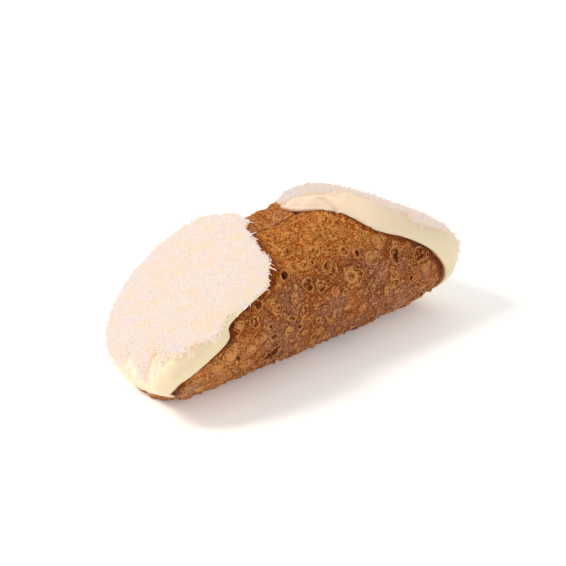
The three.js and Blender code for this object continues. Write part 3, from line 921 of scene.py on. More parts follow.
@dataclass(frozen=True)
class PastryCream(Finish):
    """Whipped ricotta and pastry cream, smoothed with a spatula.

    Light goes into it and comes out again, so that its edges glow and its shade is soft. A faintly green
    painted shade lies towards its hem, and a painted glow under the coconut.
    """

    name: ClassVar[str] = "pastry_cream"
    marks: ClassVar[tuple[str, ...]] = ("thin", "stain", "coat_glow")
    lit: str = "#f0dac5"
    pale: str = "#ead7bc"
    thin: str = "#dbd0a9"  # painted shade, darker and greener, towards the hem where it thins out over the dough
    stained: str = "#b3702c"  # where it took up oil along its edge
    coat_glow_colour: str = "#f4caa0"  # painted glow under the coconut, which stands in for light passed back from strip to strip and lightens the shade in the gaps
    # Strength of the painted glow under the coconut.
    glow: float = 0.4
    ior: float = 1.42
    roughness: float = 0.42
    specular: float = 0.3
    clearness: float = 0.6  # share of the light that goes into it
    scatter: float = 1.1  # how far light travels in it, in millimetres
    cloud: float = 9.0  # size of its paler clouds, in millimetres
    curd: float = 0.9  # size of its fine lumps
    relief: float = 0.25  # height of the lumps

    def shaded(self, tree: bpy.types.NodeTree, known: dict[str, Socket]) -> Links:
        """Adds the cream's own nodes.

        Args:
            tree: The node tree that takes the nodes.
            known: The painted shade towards the hem, the stain, and the painted glow under the coconut.

        Returns:
            What the nodes feed to the shader's inputs.
        """
        mm = in_millimetres(tree)
        cloud = add_node(tree, "ShaderNodeTexNoise", {"Vector": mm, "Scale": 1 / self.cloud, "Detail": 2.0})
        links = {"Vector": mm, "Scale": 1 / self.curd, "Detail": 3.0, "Distortion": 0.3}
        curds = add_node(tree, "ShaderNodeTexNoise", links)
        links = {"Height": curds, "Strength": 0.25, "Distance": self.relief * MM}
        layers = [(cloud, self.pale), (known["thin"], self.thin), (known["stain"], self.stained)]
        return {
            "Base Color": layered(tree, self.lit, layers),
            "Roughness": self.roughness,
            "Subsurface Weight": self.clearness,
            "Subsurface Radius": (1.0, 0.9, 0.7),
            "Subsurface Scale": self.scatter * MM,
            "Emission Color": layered(tree, "#000000", [(known["coat_glow"], self.coat_glow_colour)]),
            "Emission Strength": self.glow,
            "Normal": add_node(tree, "ShaderNodeBump", links),
        }


@dataclass(frozen=True)
class MattPaint(Finish):
    """White wall paint rolled on a board: an even, pale ground with next to no shine."""

    name: ClassVar[str] = "painted_table"
    marks: ClassVar[tuple[str, ...]] = ()
    colour: str = "#fbfaf8"
    glow: float = 0.18  # light that comes back to it from the walls of a bright room
    ior: float = 1.5
    roughness: float = 0.9
    specular: float = 0.1

    def shaded(self, tree: bpy.types.NodeTree, known: dict[str, Socket]) -> Links:
        """Gives the shader's inputs, for paint that is the same all over.

        Args:
            tree: The node tree, which takes no more nodes.
            known: Nothing.

        Returns:
            The values of the shader's inputs.
        """
        return {
            "Base Color": linear(self.colour),
            "Roughness": self.roughness,
            "Emission Color": linear("#ffffff"),
            "Emission Strength": self.glow,
        }


@dataclass(frozen=True)
class DriedCoconut(Finish):
    """Desiccated coconut flesh cut into thin strips.

    It is matte white with a trace of pink, and a little light comes through. Most of its brightness is a
    painted glow, which stands in for light passed from strip to strip and fills the shade between them.
    """

    name: ClassVar[str] = "dried_coconut"
    marks: ClassVar[tuple[str, ...]] = ("tint", "away")
    bright: str = "#807b79"  # dry strips on top, kept dull because the painted glow gives most of their brightness
    deep_in_pile: str = "#776a5a"  # strips that lie deep and take up cream; their yellow is partly painted light come through the cream
    # Colours of the painted glow.
    painted_glow_bright: str = "#eddbd1"
    painted_glow_deep: str = "#fde0bb"
    painted_glow_far: str = "#c4b2a8"  # a dimmer glow on the far heap, where it gets less light: painted shade
    glow: float = 0.85  # strength of the painted glow that stands in for light passed from strip to strip, most of it deep in the pile
    ior: float = 1.45
    roughness: float = 0.55
    specular: float = 0.3
    fibre: float = 0.3  # size of its fibres, in millimetres
    relief: float = 0.1  # height of the fibres

    def shaded(self, tree: bpy.types.NodeTree, known: dict[str, Socket]) -> Links:
        """Adds the coconut's own nodes.

        Args:
            tree: The node tree that takes the nodes.
            known: How deep each strip lies, and how much painted shade dims the far heap's glow.

        Returns:
            What the nodes feed to the shader's inputs.
        """
        tint, away = known["tint"], known["away"]
        links = {"Vector": in_millimetres(tree), "Scale": 1 / self.fibre, "Detail": 1.0}
        fibres = add_node(tree, "ShaderNodeTexNoise", links)
        links = {"Height": fibres, "Strength": 0.2, "Distance": self.relief * MM}
        glows = [(tint, self.painted_glow_deep), (away, self.painted_glow_far)]
        return {
            "Base Color": layered(tree, self.bright, [(tint, self.deep_in_pile)]),
            "Roughness": self.roughness,
            "Emission Color": layered(tree, self.painted_glow_bright, glows),
            "Emission Strength": self.glow,
            "Normal": add_node(tree, "ShaderNodeBump", links),
        }


# ---- The dough ----

# Where the near cream's edge lies on the dough, by angle: its distance from the tube's mid-length.
NEAR_HEM = SmoothCurve(
    [
        (54, 52.2), (58, 52.3), (63, 52), (67, 51.4), (70, 50.8), (72.5, 48.9), (75, 47.2), (78, 45.7),
        (81, 44.2), (84, 42.4), (87, 40.6), (90, 39.0), (93, 37.7), (96, 37.0), (99, 37.0), (102, 37.1),
        (104.5, 36.7), (107, 35.4), (110, 32.3), (113, 28.8), (116, 25.0), (119, 21.8), (122, 20.2),
        (128, 19.4), (134, 18.2), (140, 16.8), (147, 17.6), (155, 16.6), (165, 15.6), (178, 13.6),
    ]
)


@dataclass
class DoughShell:
    """The fried sheet: a fine blistered outside, rounded broken rims and a plain inside."""

    tube: TubeForm
    blisters: BlisterField
    finish: FriedDough
    spacing: float = 0.34  # between points of the outside, in millimetres
    inner_steps: int = 16
    edge_steps: int = 3  # rows of points round a broken rim
    edge_bulge: float = 0.45
    lip_thinning: float = 1.6  # how much thinner the flap is at its free edge
    lip_reach: float = 4.5
    lip_bead: float = 0.22  # height of the fine ridge along that edge
    bead_at: float = 0.7  # its distance from the edge
    bead_width: float = 0.6
    lip_crumble: float = 0.4  # unevenness of the dough along it
    resting: tuple[float, float] = (9.0, 14.0)  # degrees from the bottom line over which it lies smooth
    oiliest: float = 0.9  # how dark the dough is where it touches the cream: oil stain and painted shadow under the cream's edge
    oil_and_shadow_reach: tuple[float, float] = (1.3, 4.6)  # distances from the cream over which that darkening fades
    oil_and_shadow_angles: tuple[float, float] = (38.0, 56.0)  # angles over which it sets in
    painted_light_span: tuple[float, float] = (10.0, 42.0)  # distances from mid-length over which painted light sets in on the near half's lower side
    painted_light_from: tuple[float, float] = (8.0, 26.0)  # angles over which that sets in
    painted_light_to: tuple[float, float] = (72.0, 98.0)  # and over which it ends
    lip_grain: float = 0.55  # how grainy the flap is at its free edge, as a share of the rest
    lip_angles: tuple[float, float] = (-172.0, -150.0)
    charring: float = 0.8
    char_spots: tuple[tuple[float, float, float], ...] = (  # angle, place along the tube and radius
        (36, 13, 3.5), (44, 16, 3.0), (33, 19, 2.5), (-60, 20, 4), (-75, -22, 3.5),
    )

    def surface(self, flat_angle: Array, x: Array) -> tuple[Array, Relief, Array]:
        """Works out the outside of the dough.

        Args:
            flat_angle: Angles before the free edge is drawn back.
            x: Places along the tube.

        Returns:
            The points, what the frying did there, and the angles.
        """
        angle = self.tube.drawn_back(flat_angle, x)
        relief = self.blisters.relief(angle, x)
        lapped = self.tube.flap_edge + 360
        resting = 1 - smoothstep(np.abs(angle), *self.resting)
        hidden = np.maximum(smoothstep(angle, lapped - 3, lapped), resting)
        from_edge = self.tube.radius * np.radians(flat_angle - self.tube.flap_edge)
        free = 1 - smoothstep(from_edge, 0, self.lip_reach)
        height = np.minimum(relief.height, self.blisters.highest) * (1 - hidden) * (1 - 0.3 * free)
        broken = LatticeNoise(11)(self.tube.around(angle, x, self.tube.radius), 1.2)
        height += self.lip_crumble * broken * bell(np.abs(angle) - lapped, 3.5) * (1 - hidden)
        bead = self.lip_bead * bell(from_edge - self.bead_at, self.bead_width)
        radius = self.tube.outside(angle, x) + height - self.lip_thinning * free + bead
        # A painted highlight along the bead at the flap's free edge.
        relief.crest = np.maximum(relief.crest, 0.8 * bell(from_edge - 0.55, 0.45))
        points = self.tube.around(angle, x, radius)
        points[..., 2] = np.maximum(points[..., 2], 0.0)
        return points, relief, angle

    def rows(self) -> list[Array]:
        """Gives the places along each row of the outside, staggered from row to row."""
        turn = self.tube.under_edge - self.tube.flap_edge
        count = round(self.tube.radius * math.radians(turn) / self.spacing)
        angles = np.linspace(self.tube.flap_edge, self.tube.under_edge, count + 1)
        made = []
        for i, (angle, start, end) in enumerate(zip(angles, *self.tube.ends(angles))):
            first = math.ceil(start / self.spacing) + (i % 2) / 2
            x = np.arange(first * self.spacing, end, self.spacing)
            keep = (x > start + 0.4 * self.spacing) & (x < end - 0.4 * self.spacing)
            x = np.concatenate([[start], x[keep], [end]])
            made.append(np.stack([np.full(len(x), angle), x], axis=-1))
        return made

    def build(self) -> bpy.types.Object:
        """Builds the whole sheet as one closed mesh."""
        rows = self.rows()
        starts = np.cumsum([0] + [len(row) for row in rows])
        flat_angle, x = np.concatenate(rows).T
        outer, relief, angle = self.surface(flat_angle, x)
        faces: list[tuple[int, int, int]] = []
        numbers = [np.arange(starts[i], starts[i + 1]) for i in range(len(rows))]
        for i in range(len(rows) - 1):
            faces += zipped_faces(numbers[i], numbers[i + 1], rows[i][:, 1], rows[i + 1][:, 1])
        first = np.array([n[0] for n in numbers])
        last = np.array([n[-1] for n in numbers])
        inner, inner_numbers = self.lining(first, last, x, flat_angle, outer, starts[-1])
        squares = grid_faces(len(rows), inner_numbers.shape[1], False)
        squares = inner_numbers.ravel()[squares]
        for row, flipped in ((0, True), (-1, False)):
            outer_row, inner_row = numbers[row], inner_numbers[row][1:-1][::-1]
            inner_x = inner[inner_row - starts[-1], 0]
            cap = zipped_faces(outer_row[1:-1], inner_row, x[outer_row[1:-1]], inner_x)
            side_a = (outer_row[0], outer_row[1], inner_row[0])
            side_b = (outer_row[-1], inner_row[-1], outer_row[-2])
            cap += [side_a, side_b]
            faces += [(a, c, b) for a, b, c in cap] if flipped else cap
        points = np.concatenate([outer, inner])
        triangles = np.array(faces)
        attributes = self.masks(relief, angle, x, len(inner))
        piece = add_piece("dough_shell", points, [triangles, squares], self.finish.material(), attributes)
        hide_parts("pastry_shell")
        return piece

    def lining(
        self, first: Array, last: Array, x: Array, flat_angle: Array, outer: Array, offset: int
    ) -> tuple[Array, Array]:
        """Makes the rounded rims and the inside of the sheet.

        Args:
            first: Vertex numbers of the outside along the near rim.
            last: Vertex numbers of the outside along the far rim.
            x: Place along the tube of each outside point.
            flat_angle: Angle of each outside point, before the free edge is drawn back.
            outer: The outside points.
            offset: How many outside points there are.

        Returns:
            The new points, and for each row the vertex numbers from the far rim back to the near rim, with
            the outside's own rim points at both ends.
        """
        rough = LatticeNoise(8)
        share = np.linspace(0, 1, self.edge_steps + 2)[1:]
        columns = []
        for side, rim in ((1, last), (-1, first)):
            for t in share if side == 1 else share[::-1]:
                angle = self.tube.drawn_back(flat_angle[rim], x[rim])
                inside = self.tube.outside(angle, x[rim]) - self.tube.wall
                outside = self.tube.polar(outer[rim])[1]
                bulge = self.edge_bulge * math.sin(math.pi * t)
                uneven = 0.25 * rough(outer[rim] + 5 * t, 1.4) * math.sin(math.pi * t)
                along = x[rim] + side * (bulge + uneven)
                columns.append(self.tube.around(angle, along, lerp(outside, inside, t)))
        middle = []
        for t in np.linspace(0, 1, self.inner_steps + 1)[1:-1]:
            along = lerp(x[last], x[first], t)
            angle = self.tube.drawn_back(flat_angle[first], along)
            middle.append(self.tube.around(angle, along, self.tube.outside(angle, along) - self.tube.wall))
        count = len(share)
        columns = columns[:count] + middle + columns[count:]
        inner = np.stack(columns, axis=1)
        inner[..., 2] = np.maximum(inner[..., 2], 0.0)
        own = offset + np.arange(inner.shape[0] * inner.shape[1]).reshape(inner.shape[:2])
        return inner.reshape(-1, 3), np.concatenate([last[:, None], own, first[:, None]], axis=1)

    def masks(self, relief: Relief, angle: Array, x: Array, lining: int) -> dict[str, Array]:
        """Gives the values that the finish reads, for the outside and then for the lining."""
        near, far = self.tube.ends(angle)
        hung = (angle > NEAR_HEM.at[0]) & (angle < NEAR_HEM.at[-1])
        # Oil stain and painted shadow on the dough next to the cream.
        to_cream = np.minimum(x - np.where(hung, -NEAR_HEM(angle), near), far - x + 1.0)
        oil_and_shadow = self.oiliest * (1 - smoothstep(to_cream, *self.oil_and_shadow_reach))
        oil_and_shadow = oil_and_shadow * smoothstep(angle, *self.oil_and_shadow_angles)
        place = self.tube.around(angle, x, self.tube.radius)
        uneven = 0.5 * LatticeNoise(9)(place, 1.5)
        charred = np.zeros(len(x))
        for spot_angle, spot_x, radius in self.char_spots:
            spot = self.tube.around(np.float64(spot_angle), np.float64(spot_x), self.tube.radius)
            reach = np.linalg.norm(place - spot, axis=-1) / radius + uneven
            charred = np.maximum(charred, self.charring * (1 - smoothstep(reach, 0.3, 1.0)))
        flap = lerp(self.lip_grain, 1.0, smoothstep(angle, *self.lip_angles))
        # pale is painted light on the lower side of the near half, where more light falls.
        pale = smoothstep(-x, *self.painted_light_span) * smoothstep(angle, *self.painted_light_from)
        outer = {
            "outline": relief.outline,
            "burst": relief.burst,
            "pit": relief.pit,
            "crest": relief.crest,
            "tone": relief.tone,
            "grainy": self.blisters.graininess(angle, x) * flap,
            "oil_and_shadow": oil_and_shadow,
            "pale": pale * (1 - smoothstep(angle, *self.painted_light_to)),
            "charred": charred,
        }
        # The broken rims and the lining take full painted light, partly the paler crumb inside.
        plain = {"outline": self.blisters.room, "grainy": 0.5, "pale": 1.0}
        return {
            key: np.concatenate([value, np.full(lining, plain.get(key, 0.0))])
            for key, value in outer.items()
        }


# ---- The cream ----


@dataclass(frozen=True)
class MoundForm:
    """The mound of cream that stands out at one end of the tube.

    crown is its height over the middle of the opening. shoulder, lip and droop go round the rim from the
    top in equal steps, first down the +Y side and then up the -Y side: the height just inside the rim, how
    far the cream stands out over the rim, and how far it hangs. Its height is measured along a direction
    that leans up by lean[0] degrees at the bottom of the opening and by lean[1] degrees at its top.
    """

    end: int
    crown: float
    shoulder: RoundCurve
    lip: RoundCurve
    droop: RoundCurve
    lean: tuple[float, float]
    hem: SmoothCurve | None = None  # distance from mid-length of the cream's edge, where it hangs unevenly
    cover: SmoothCurve | None = None  # share of the way to the hem that is covered with coconut, by angle
    fray: float = 0.05  # how gradually the coconut ends
    fold: tuple[tuple[float, float], ...] = ()  # a crease, by angle and share of the way to the hem
    hem_shading: float = 0.8  # how much painted shade lies towards its hem, where the cream thins out
    hem_shade_from: float = 0.8  # share of the way to the hem from which on that painted shade is full
    stained: tuple[float, float] = (0.975, 1.0)  # shares of the way over which the dough stains it
    coat_glow_share: float = 1.0  # how much painted glow the cream gets under the coconut

    def creased(self, angle: Array, share: Array) -> Array:
        """Tells how close to the crease a place is, 1 on it.

        Args:
            angle: Angles round the tube.
            share: Shares of the way from the crown to the hem.

        Returns:
            One value for each place.
        """
        nearest = np.full(np.broadcast(angle, share).shape, 99.0)
        per_degree, per_share = 0.35, 28.0  # roughly in millimetres
        place = np.stack(np.broadcast_arrays(angle * per_degree, share * per_share), axis=-1)
        knots = np.array(self.fold).reshape(-1, 2) * (per_degree, per_share)
        for start, end in zip(knots[:-1], knots[1:]):
            way = end - start
            t = np.clip((place - start) @ way / (way @ way), 0, 1)
            nearest = np.minimum(nearest, np.linalg.norm(place - start - t[..., None] * way, axis=-1))
        return bell(nearest, 0.7)


@dataclass
class CreamFilling:
    """The cream: one body from mound to mound, through the tube and close against the dough."""

    shell: DoughShell
    finish: PastryCream
    columns: int = 300
    rings: int = 64
    hem_rings: int = 20  # the last ones, which come near the dough
    gap: float = 0.06  # between cream and dough
    rim_room: float = 0.5  # how far a broken rim stands out beyond its line
    sunk: float = 0.35  # how far the coconut's weight presses the cream under it
    lean_heights: tuple[float, float] = (4.0, 36.0)  # over the table, between which the lean turns
    lumps: tuple[float, float] = (0.3, 9.0)  # height and size of the lumps left by the spoon
    fine_lumps: tuple[float, float] = (0.22, 3.4)  # of the ones under the coconut
    bare_lumps: tuple[float, float] = (0.1, 4.0)  # of the ones where no coconut lies
    crease_depth: float = 0.4
    staining: float = 0.85  # how stained the cream is where it lies on the dough
    near: MoundForm = field(
        default_factory=lambda: MoundForm(
            end=-1,
            crown=7.9,
            shoulder=RoundCurve(
                [6.3, 6.3, 5.9, 5.4, 5.7, 6.9, 6.5, 5.1, 4.3, 4.3, 4.6, 5.0, 6.0, 6.2, 6.2, 6.2]
            ),
            lip=RoundCurve(
                [1.6, 1.5, 1.4, 1.4, 1.3, 0.4, -0.7, -0.8, -2.2, -2.4, -1.2, -0.1, 1.9, 2.2, 2.2, 1.9]
            ),
            droop=RoundCurve([2.5, 2, 1.5, 1.5, 1.5, 1, 0.4, 0.1, 0, 0, 0.1, 0.6, 3, 3.5, 3.6, 3]),
            lean=(16, 53),
            hem=NEAR_HEM,
            cover=SmoothCurve(
                [
                    (-180, 0.95), (-90, 0.85), (-60, 0.6), (-42, 0.3), (-30, 0.22), (-18, 0.16), (0, 0.125),
                    (24, 0.12), (41, 0.165), (50, 0.21), (56, 0.24), (67, 0.24), (74, 0.235), (78, 0.25),
                    (82, 0.265), (85, 0.31), (89, 0.36), (92, 0.41), (95, 0.48), (98, 0.6), (103, 0.64),
                    (107, 0.6), (110, 0.62), (116, 0.74), (121, 0.87), (126, 0.97), (180, 0.95),
                ]
            ),
        )
    )
    far: MoundForm = field(
        default_factory=lambda: MoundForm(
            end=1,
            crown=9.8,
            shoulder=RoundCurve([8.2, 7.6, 7.4, 7.4, 7.0, 9.2, 10.1, 8.2]),
            lip=RoundCurve([1.1, 1.2, 1.2, -0.8, -3, -0.9, 0.1, 0.3]),
            droop=RoundCurve([1.8, 1.4, 1.2, 0.2, -0.2, 0, -0.2, 0.2]),
            lean=(8, 38),
            fray=0.12,
            fold=((170, 0.54), (166.8, 0.6), (164.4, 0.635), (160.8, 0.683), (156, 0.84), (152.4, 0.97)),
            hem_shading=0.6,
            hem_shade_from=0.5,
            stained=(0.76, 0.84),
            coat_glow_share=0.6,
            cover=SmoothCurve(
                [
                    (-180, 0.5), (-172, 0.67), (-160, 0.78), (-120, 0.8), (-60, 0.7), (0, 0.5), (40, 0.36),
                    (83, 0.35), (90, 0.33), (96, 0.38), (107, 0.47), (116, 0.5), (122, 0.45), (128, 0.34),
                    (134, 0.36), (140, 0.27), (150, 0.24), (156, 0.31), (166, 0.33), (172, 0.42), (180, 0.5),
                ]
            ),
        )
    )

    def column_angles(self) -> Array:
        """Gives the angle of each column of points."""
        return -180 + 360 * np.arange(self.columns) / self.columns

    def opening_x(self, mound: MoundForm, y: Array, z: Array) -> Array:
        """Gives x of the surface spanned by the slanted rim, at a side and a height."""
        tube = self.shell.tube
        from_axis = z - tube.axis_height
        angle = np.degrees(np.arccos(np.clip(-from_axis / tube.radius, -1, 1)))
        half_width = np.sqrt(np.maximum(tube.radius**2 - from_axis**2, 1.0))
        side = np.clip(0.5 - 0.5 * y / half_width, 0, 1)
        share = 0.5 * (side + smoothstep(side, 0, 1))
        rim = tube.near_rim if mound.end < 0 else tube.far_rim
        return mound.end * lerp(rim(-angle), rim(angle), share)

    def profile(self, mound: MoundForm, angle: Array) -> tuple[Array, Array]:
        """Gives the radius and the height of every ring of a mound.

        Args:
            mound: The mound.
            angle: The angles of its columns.

        Returns:
            The radii and the heights, a row for each ring from the crown to the hem.
        """
        tube = self.shell.tube
        shoulder, droop = mound.shoulder(angle), mound.droop(angle)
        if mound.hem is not None:
            first, last = mound.hem.at[0], mound.hem.at[-1]
            share = smoothstep(angle, first, first + 8) * (1 - smoothstep(angle, last - 6, last + 2))
            rim = tube.near_rim if mound.end < 0 else tube.far_rim
            droop = lerp(droop, rim(angle) - mound.hem(angle) - 0.3, share)
        out = tube.radius + mound.lip(angle)
        steady = np.zeros(angle.shape)
        # Each knot is a radius and a height: from the crown over the shoulder and the lip to the hanging hem.
        knots = np.array(
            [
                (steady, steady + mound.crown),
                (steady + 0.3 * tube.radius, steady + 0.98 * mound.crown),
                (0.6 * out, 0.35 * mound.crown + 0.67 * shoulder),
                (0.85 * out, 0.93 * shoulder),
                (out - 1.4, 0.68 * shoulder),
                (out - 0.4, 0.42 * shoulder),
                (out, 0.1 * shoulder),
                (out - 0.3, -0.5 * droop),
                (out - 0.75, -0.8 * droop - 0.1),
                (out - 1.5, -droop - 0.35),
            ]
        )
        position = np.linspace(0, len(knots) - 1, self.rings)
        i = np.minimum(position.astype(int), len(knots) - 2)
        t = (position - i)[:, None, None]
        a, b, c, d = (knots[np.clip(i + step, 0, len(knots) - 1)] for step in (-1, 0, 1, 2))
        made = spline(a, b, c, d, t)
        return made[:, 0], made[:, 1]

    def mound(self, mound: MoundForm) -> Array:
        """Gives a mound's points, a ring for each step from the crown to the hem."""
        tube = self.shell.tube
        angle = self.column_angles()
        radius, height = self.profile(mound, angle)
        place = tube.around(angle, 0.0, radius)
        rim = tube.around(angle, 0.0, np.minimum(radius, tube.radius))
        lean = np.radians(lerp(*mound.lean, smoothstep(place[..., 2], *self.lean_heights)))
        lean = lean * smoothstep(height, -0.5, 1.0)
        x = self.opening_x(mound, rim[..., 1], rim[..., 2]) + mound.end * np.cos(lean) * height
        points = np.stack([x, place[..., 1], place[..., 2] + np.sin(lean) * height], axis=-1)
        return self.lumped(mound, points, angle)

    def lumped(self, mound: MoundForm, points: Array, angle: Array) -> Array:
        """Gives a mound the soft lumps left by the spoon, smoother where no coconut lies."""
        noise = LatticeNoise(40 + mound.end)
        share = np.linspace(0, 1, len(points))[:, None]
        covered = 1 - smoothstep(share - mound.cover(angle), -0.12, 0.06)
        (high, size), (fine_high, fine_size) = self.lumps, self.fine_lumps
        bare_high, bare_size = self.bare_lumps
        lift = high * noise(points, size)
        lift += covered * (fine_high * noise(points + 31, fine_size) - self.sunk)
        lift += bare_high * (1 - covered) * noise(points + 17, bare_size)
        lift -= self.crease_depth * mound.creased(angle, share)
        fade = smoothstep(share, 0.02, 0.1) * (1 - smoothstep(share, 0.86, 1.0))
        return points + self.normals(points, mound) * (lift * fade)[..., None]

    def normals(self, points: Array, mound: MoundForm) -> Array:
        """Gives the outward direction at each point of a mound."""
        along = np.gradient(points, axis=0)
        round_it = np.roll(points, -1, axis=1) - np.roll(points, 1, axis=1)
        return -mound.end * unit(np.cross(along, round_it))

    def hem_to_core(self, mound: MoundForm, hem: Array) -> Array:
        """Leads the cream from its hem along the dough, round the rim and into the tube.

        Args:
            mound: The mound.
            hem: The mound's last ring.

        Returns:
            More rings, the last one inside the tube.
        """
        tube = self.shell.tube
        column = self.column_angles()
        hem_angle, hem_radius = tube.polar(hem)
        hem_angle = column + (hem_angle - column + 180) % 360 - 180
        reach = mound.end * hem[:, 0]
        near, far = tube.ends(column)
        rim = -near if mound.end < 0 else far
        outside = self.dough_top(column, mound.end * rim) + self.gap
        inside = tube.outside(column, mound.end * rim) - tube.wall - self.gap
        over = smoothstep(hem_radius - inside, 0.0, tube.wall)
        contact = self.dough_top(hem_angle, hem[:, 0]) + self.gap
        past_rim = rim + self.rim_room + self.gap
        # For each turn: the radius, the place along the tube, how much of the hem's own angle is kept, and
        # the number of steps.
        turns = (
            (
                lerp(hem_radius, contact, over),
                lerp(reach - 0.2, np.minimum(reach + 0.3, rim + self.gap), over),
                1.0,
                2,
            ),
            (lerp(hem_radius, outside, over), lerp(reach - 0.4, past_rim, over), 0.4, 5),
            (lerp(hem_radius, inside, over), lerp(reach - 0.8, past_rim, over), 0.0, 3),
            (np.minimum(inside, 40.0), np.minimum(rim - 2.5, reach - 1.2), 0.0, 2),
        )
        rings = []
        before = (hem_radius, reach, hem_angle)
        for radius, along, keep, steps in turns:
            after = (radius, along, lerp(column, hem_angle, keep))
            for share in np.linspace(0, 1, steps + 1)[1:]:
                made = [lerp(old, new, share) for old, new in zip(before, after)]
                rings.append(tube.around(made[2], mound.end * made[1], made[0]))
            before = after
        return np.array(rings)

    def dough_top(self, angle: Array, x: Array) -> Array:
        """Gives the dough's outside radius with its relief."""
        points, _, _ = self.shell.surface(np.asarray(angle, float), np.asarray(x, float))
        return self.shell.tube.polar(points)[1]

    def clear_of_dough(self, points: Array) -> Array:
        """Moves any point that would lie in the dough to the nearest free side of it."""
        tube = self.shell.tube
        angle, radius = tube.polar(points)
        flat = angle.ravel()
        x = points[..., 0]
        near, far = tube.ends(angle)
        top = self.dough_top(flat, x.ravel()).reshape(radius.shape) + self.gap
        bottom = tube.outside(angle, x) - tube.wall - self.gap
        front = np.minimum(x - near, far - x) + self.rim_room + self.gap
        depth = np.stack([top - radius, radius - bottom, front])
        within = (depth > 0).all(axis=0)
        way = depth.argmin(axis=0)
        radius = np.where(within & (way == 0), top, np.where(within & (way == 1), bottom, radius))
        before, beyond = near - self.rim_room - self.gap, far + self.rim_room + self.gap
        side = np.where(x - near < far - x, before, beyond)
        x = np.where(within & (way == 2), side, x)
        return tube.around(angle, x, radius)

    def masks(self, points: Array, count: int) -> dict[str, Array]:
        """Gives the values that the finish reads.

        Args:
            points: The skin's points, ring by ring between the two crowns.
            count: How many rings there are, the crowns' own points counted as one each.

        Returns:
            The painted shade towards the hem, the stain, and the painted glow under the coconut, for each
            point.
        """
        ring = 1 + (np.arange(len(points)) - 1) // self.columns
        share = np.minimum(ring, count - 1 - ring) / (self.rings - 1)
        angle = -180 + 360 * ((np.arange(len(points)) - 1) % self.columns) / self.columns
        uneven = 0.03 * LatticeNoise(70)(points, 2.0)
        far = ring > count / 2
        made = {key: np.zeros(len(points)) for key in ("thin", "stain", "coat_glow")}
        for form, here in ((self.near, ~far), (self.far, far)):
            # thin is painted shade towards the hem.
            thin = form.hem_shading * smoothstep(share + 2 * uneven, 0.22, form.hem_shade_from)
            stain = self.staining * smoothstep(share + uneven, *form.stained)
            # The painted glow on the cream under the coconut.
            coat_glow = form.coat_glow_share * (1 - smoothstep(share - form.cover(angle), -0.12, -0.02))
            for key, value in (("thin", thin), ("stain", stain), ("coat_glow", coat_glow)):
                made[key][here] = value[here]
        # By the flap's corner the far cream takes little painted shade and less stain.
        made["thin"][far] *= smoothstep(points[far, 0], 12, 40)
        made["stain"][far] *= 0.45 + 0.55 * smoothstep(points[far, 0], 12, 20)
        # Painted shade along the crease in the far cream, carried in the stain.
        crease = self.far.creased(angle, share) * far
        made["stain"] = np.maximum(made["stain"], 0.16 * crease)
        return made

    def build(self) -> dict[int, Array]:
        """Builds the cream as one closed skin.

        Returns:
            The points of each mound by its end, a ring for each step from the crown to the hem.
        """
        mounds = {}
        halves = []
        for form in (self.near, self.far):
            rings = self.mound(form)
            hem = self.clear_of_dough(rings[-self.hem_rings :])
            rings = np.concatenate([rings[: -self.hem_rings], hem])
            mounds[form.end] = rings
            halves.append(np.concatenate([rings, self.hem_to_core(form, rings[-1])]))
        near, far = halves[0], halves[1][::-1]
        core = np.array([lerp(near[-1], far[0], share) for share in np.linspace(0, 1, 8)[1:-1]])
        angle, _ = self.shell.tube.polar(core)
        inside = self.shell.tube.outside(angle, core[..., 0]) - self.shell.tube.wall - self.gap
        core = self.shell.tube.around(angle, core[..., 0], inside)
        rings = np.concatenate([near, core, far])
        skin = rings[1:-1].reshape(-1, 3)
        points = np.concatenate([rings[0][:1], skin, rings[-1][:1]])
        squares = grid_faces(len(rings) - 2, self.columns, True) + 1
        start = np.arange(self.columns)
        after = (start + 1) % self.columns
        final = len(points) - 1
        first_fan = np.stack([np.zeros(self.columns, int), 1 + start, 1 + after], axis=-1)
        last_ring = final - self.columns
        last_fan = np.stack([last_ring + start, np.full(self.columns, final), last_ring + after], axis=-1)
        faces = [first_fan, squares, last_fan]
        attributes = self.masks(points, len(rings))
        piece = add_piece("cream_body", points, faces, self.finish.material(), attributes)
        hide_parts("cream_filling")
        return mounds


# ---- The coconut ----


class CutKind(Enum):
    """The cuts in a bag of desiccated coconut."""

    SHRED = "thin strips"
    SLIVER = "short slivers"
    CRUMB = "crumbs"


@dataclass(frozen=True)
class Cut:
    """How one cut of coconut is made and laid."""

    kind: CutKind
    count: int
    length: tuple[float, float]
    width: tuple[float, float]
    thickness: tuple[float, float]
    rings: int  # points along a strip
    sides: int
    tilt: float  # how far it stands up, in degrees
    pile: tuple[float, float]  # height of its middle over the cream
    curl: float
    seed: int


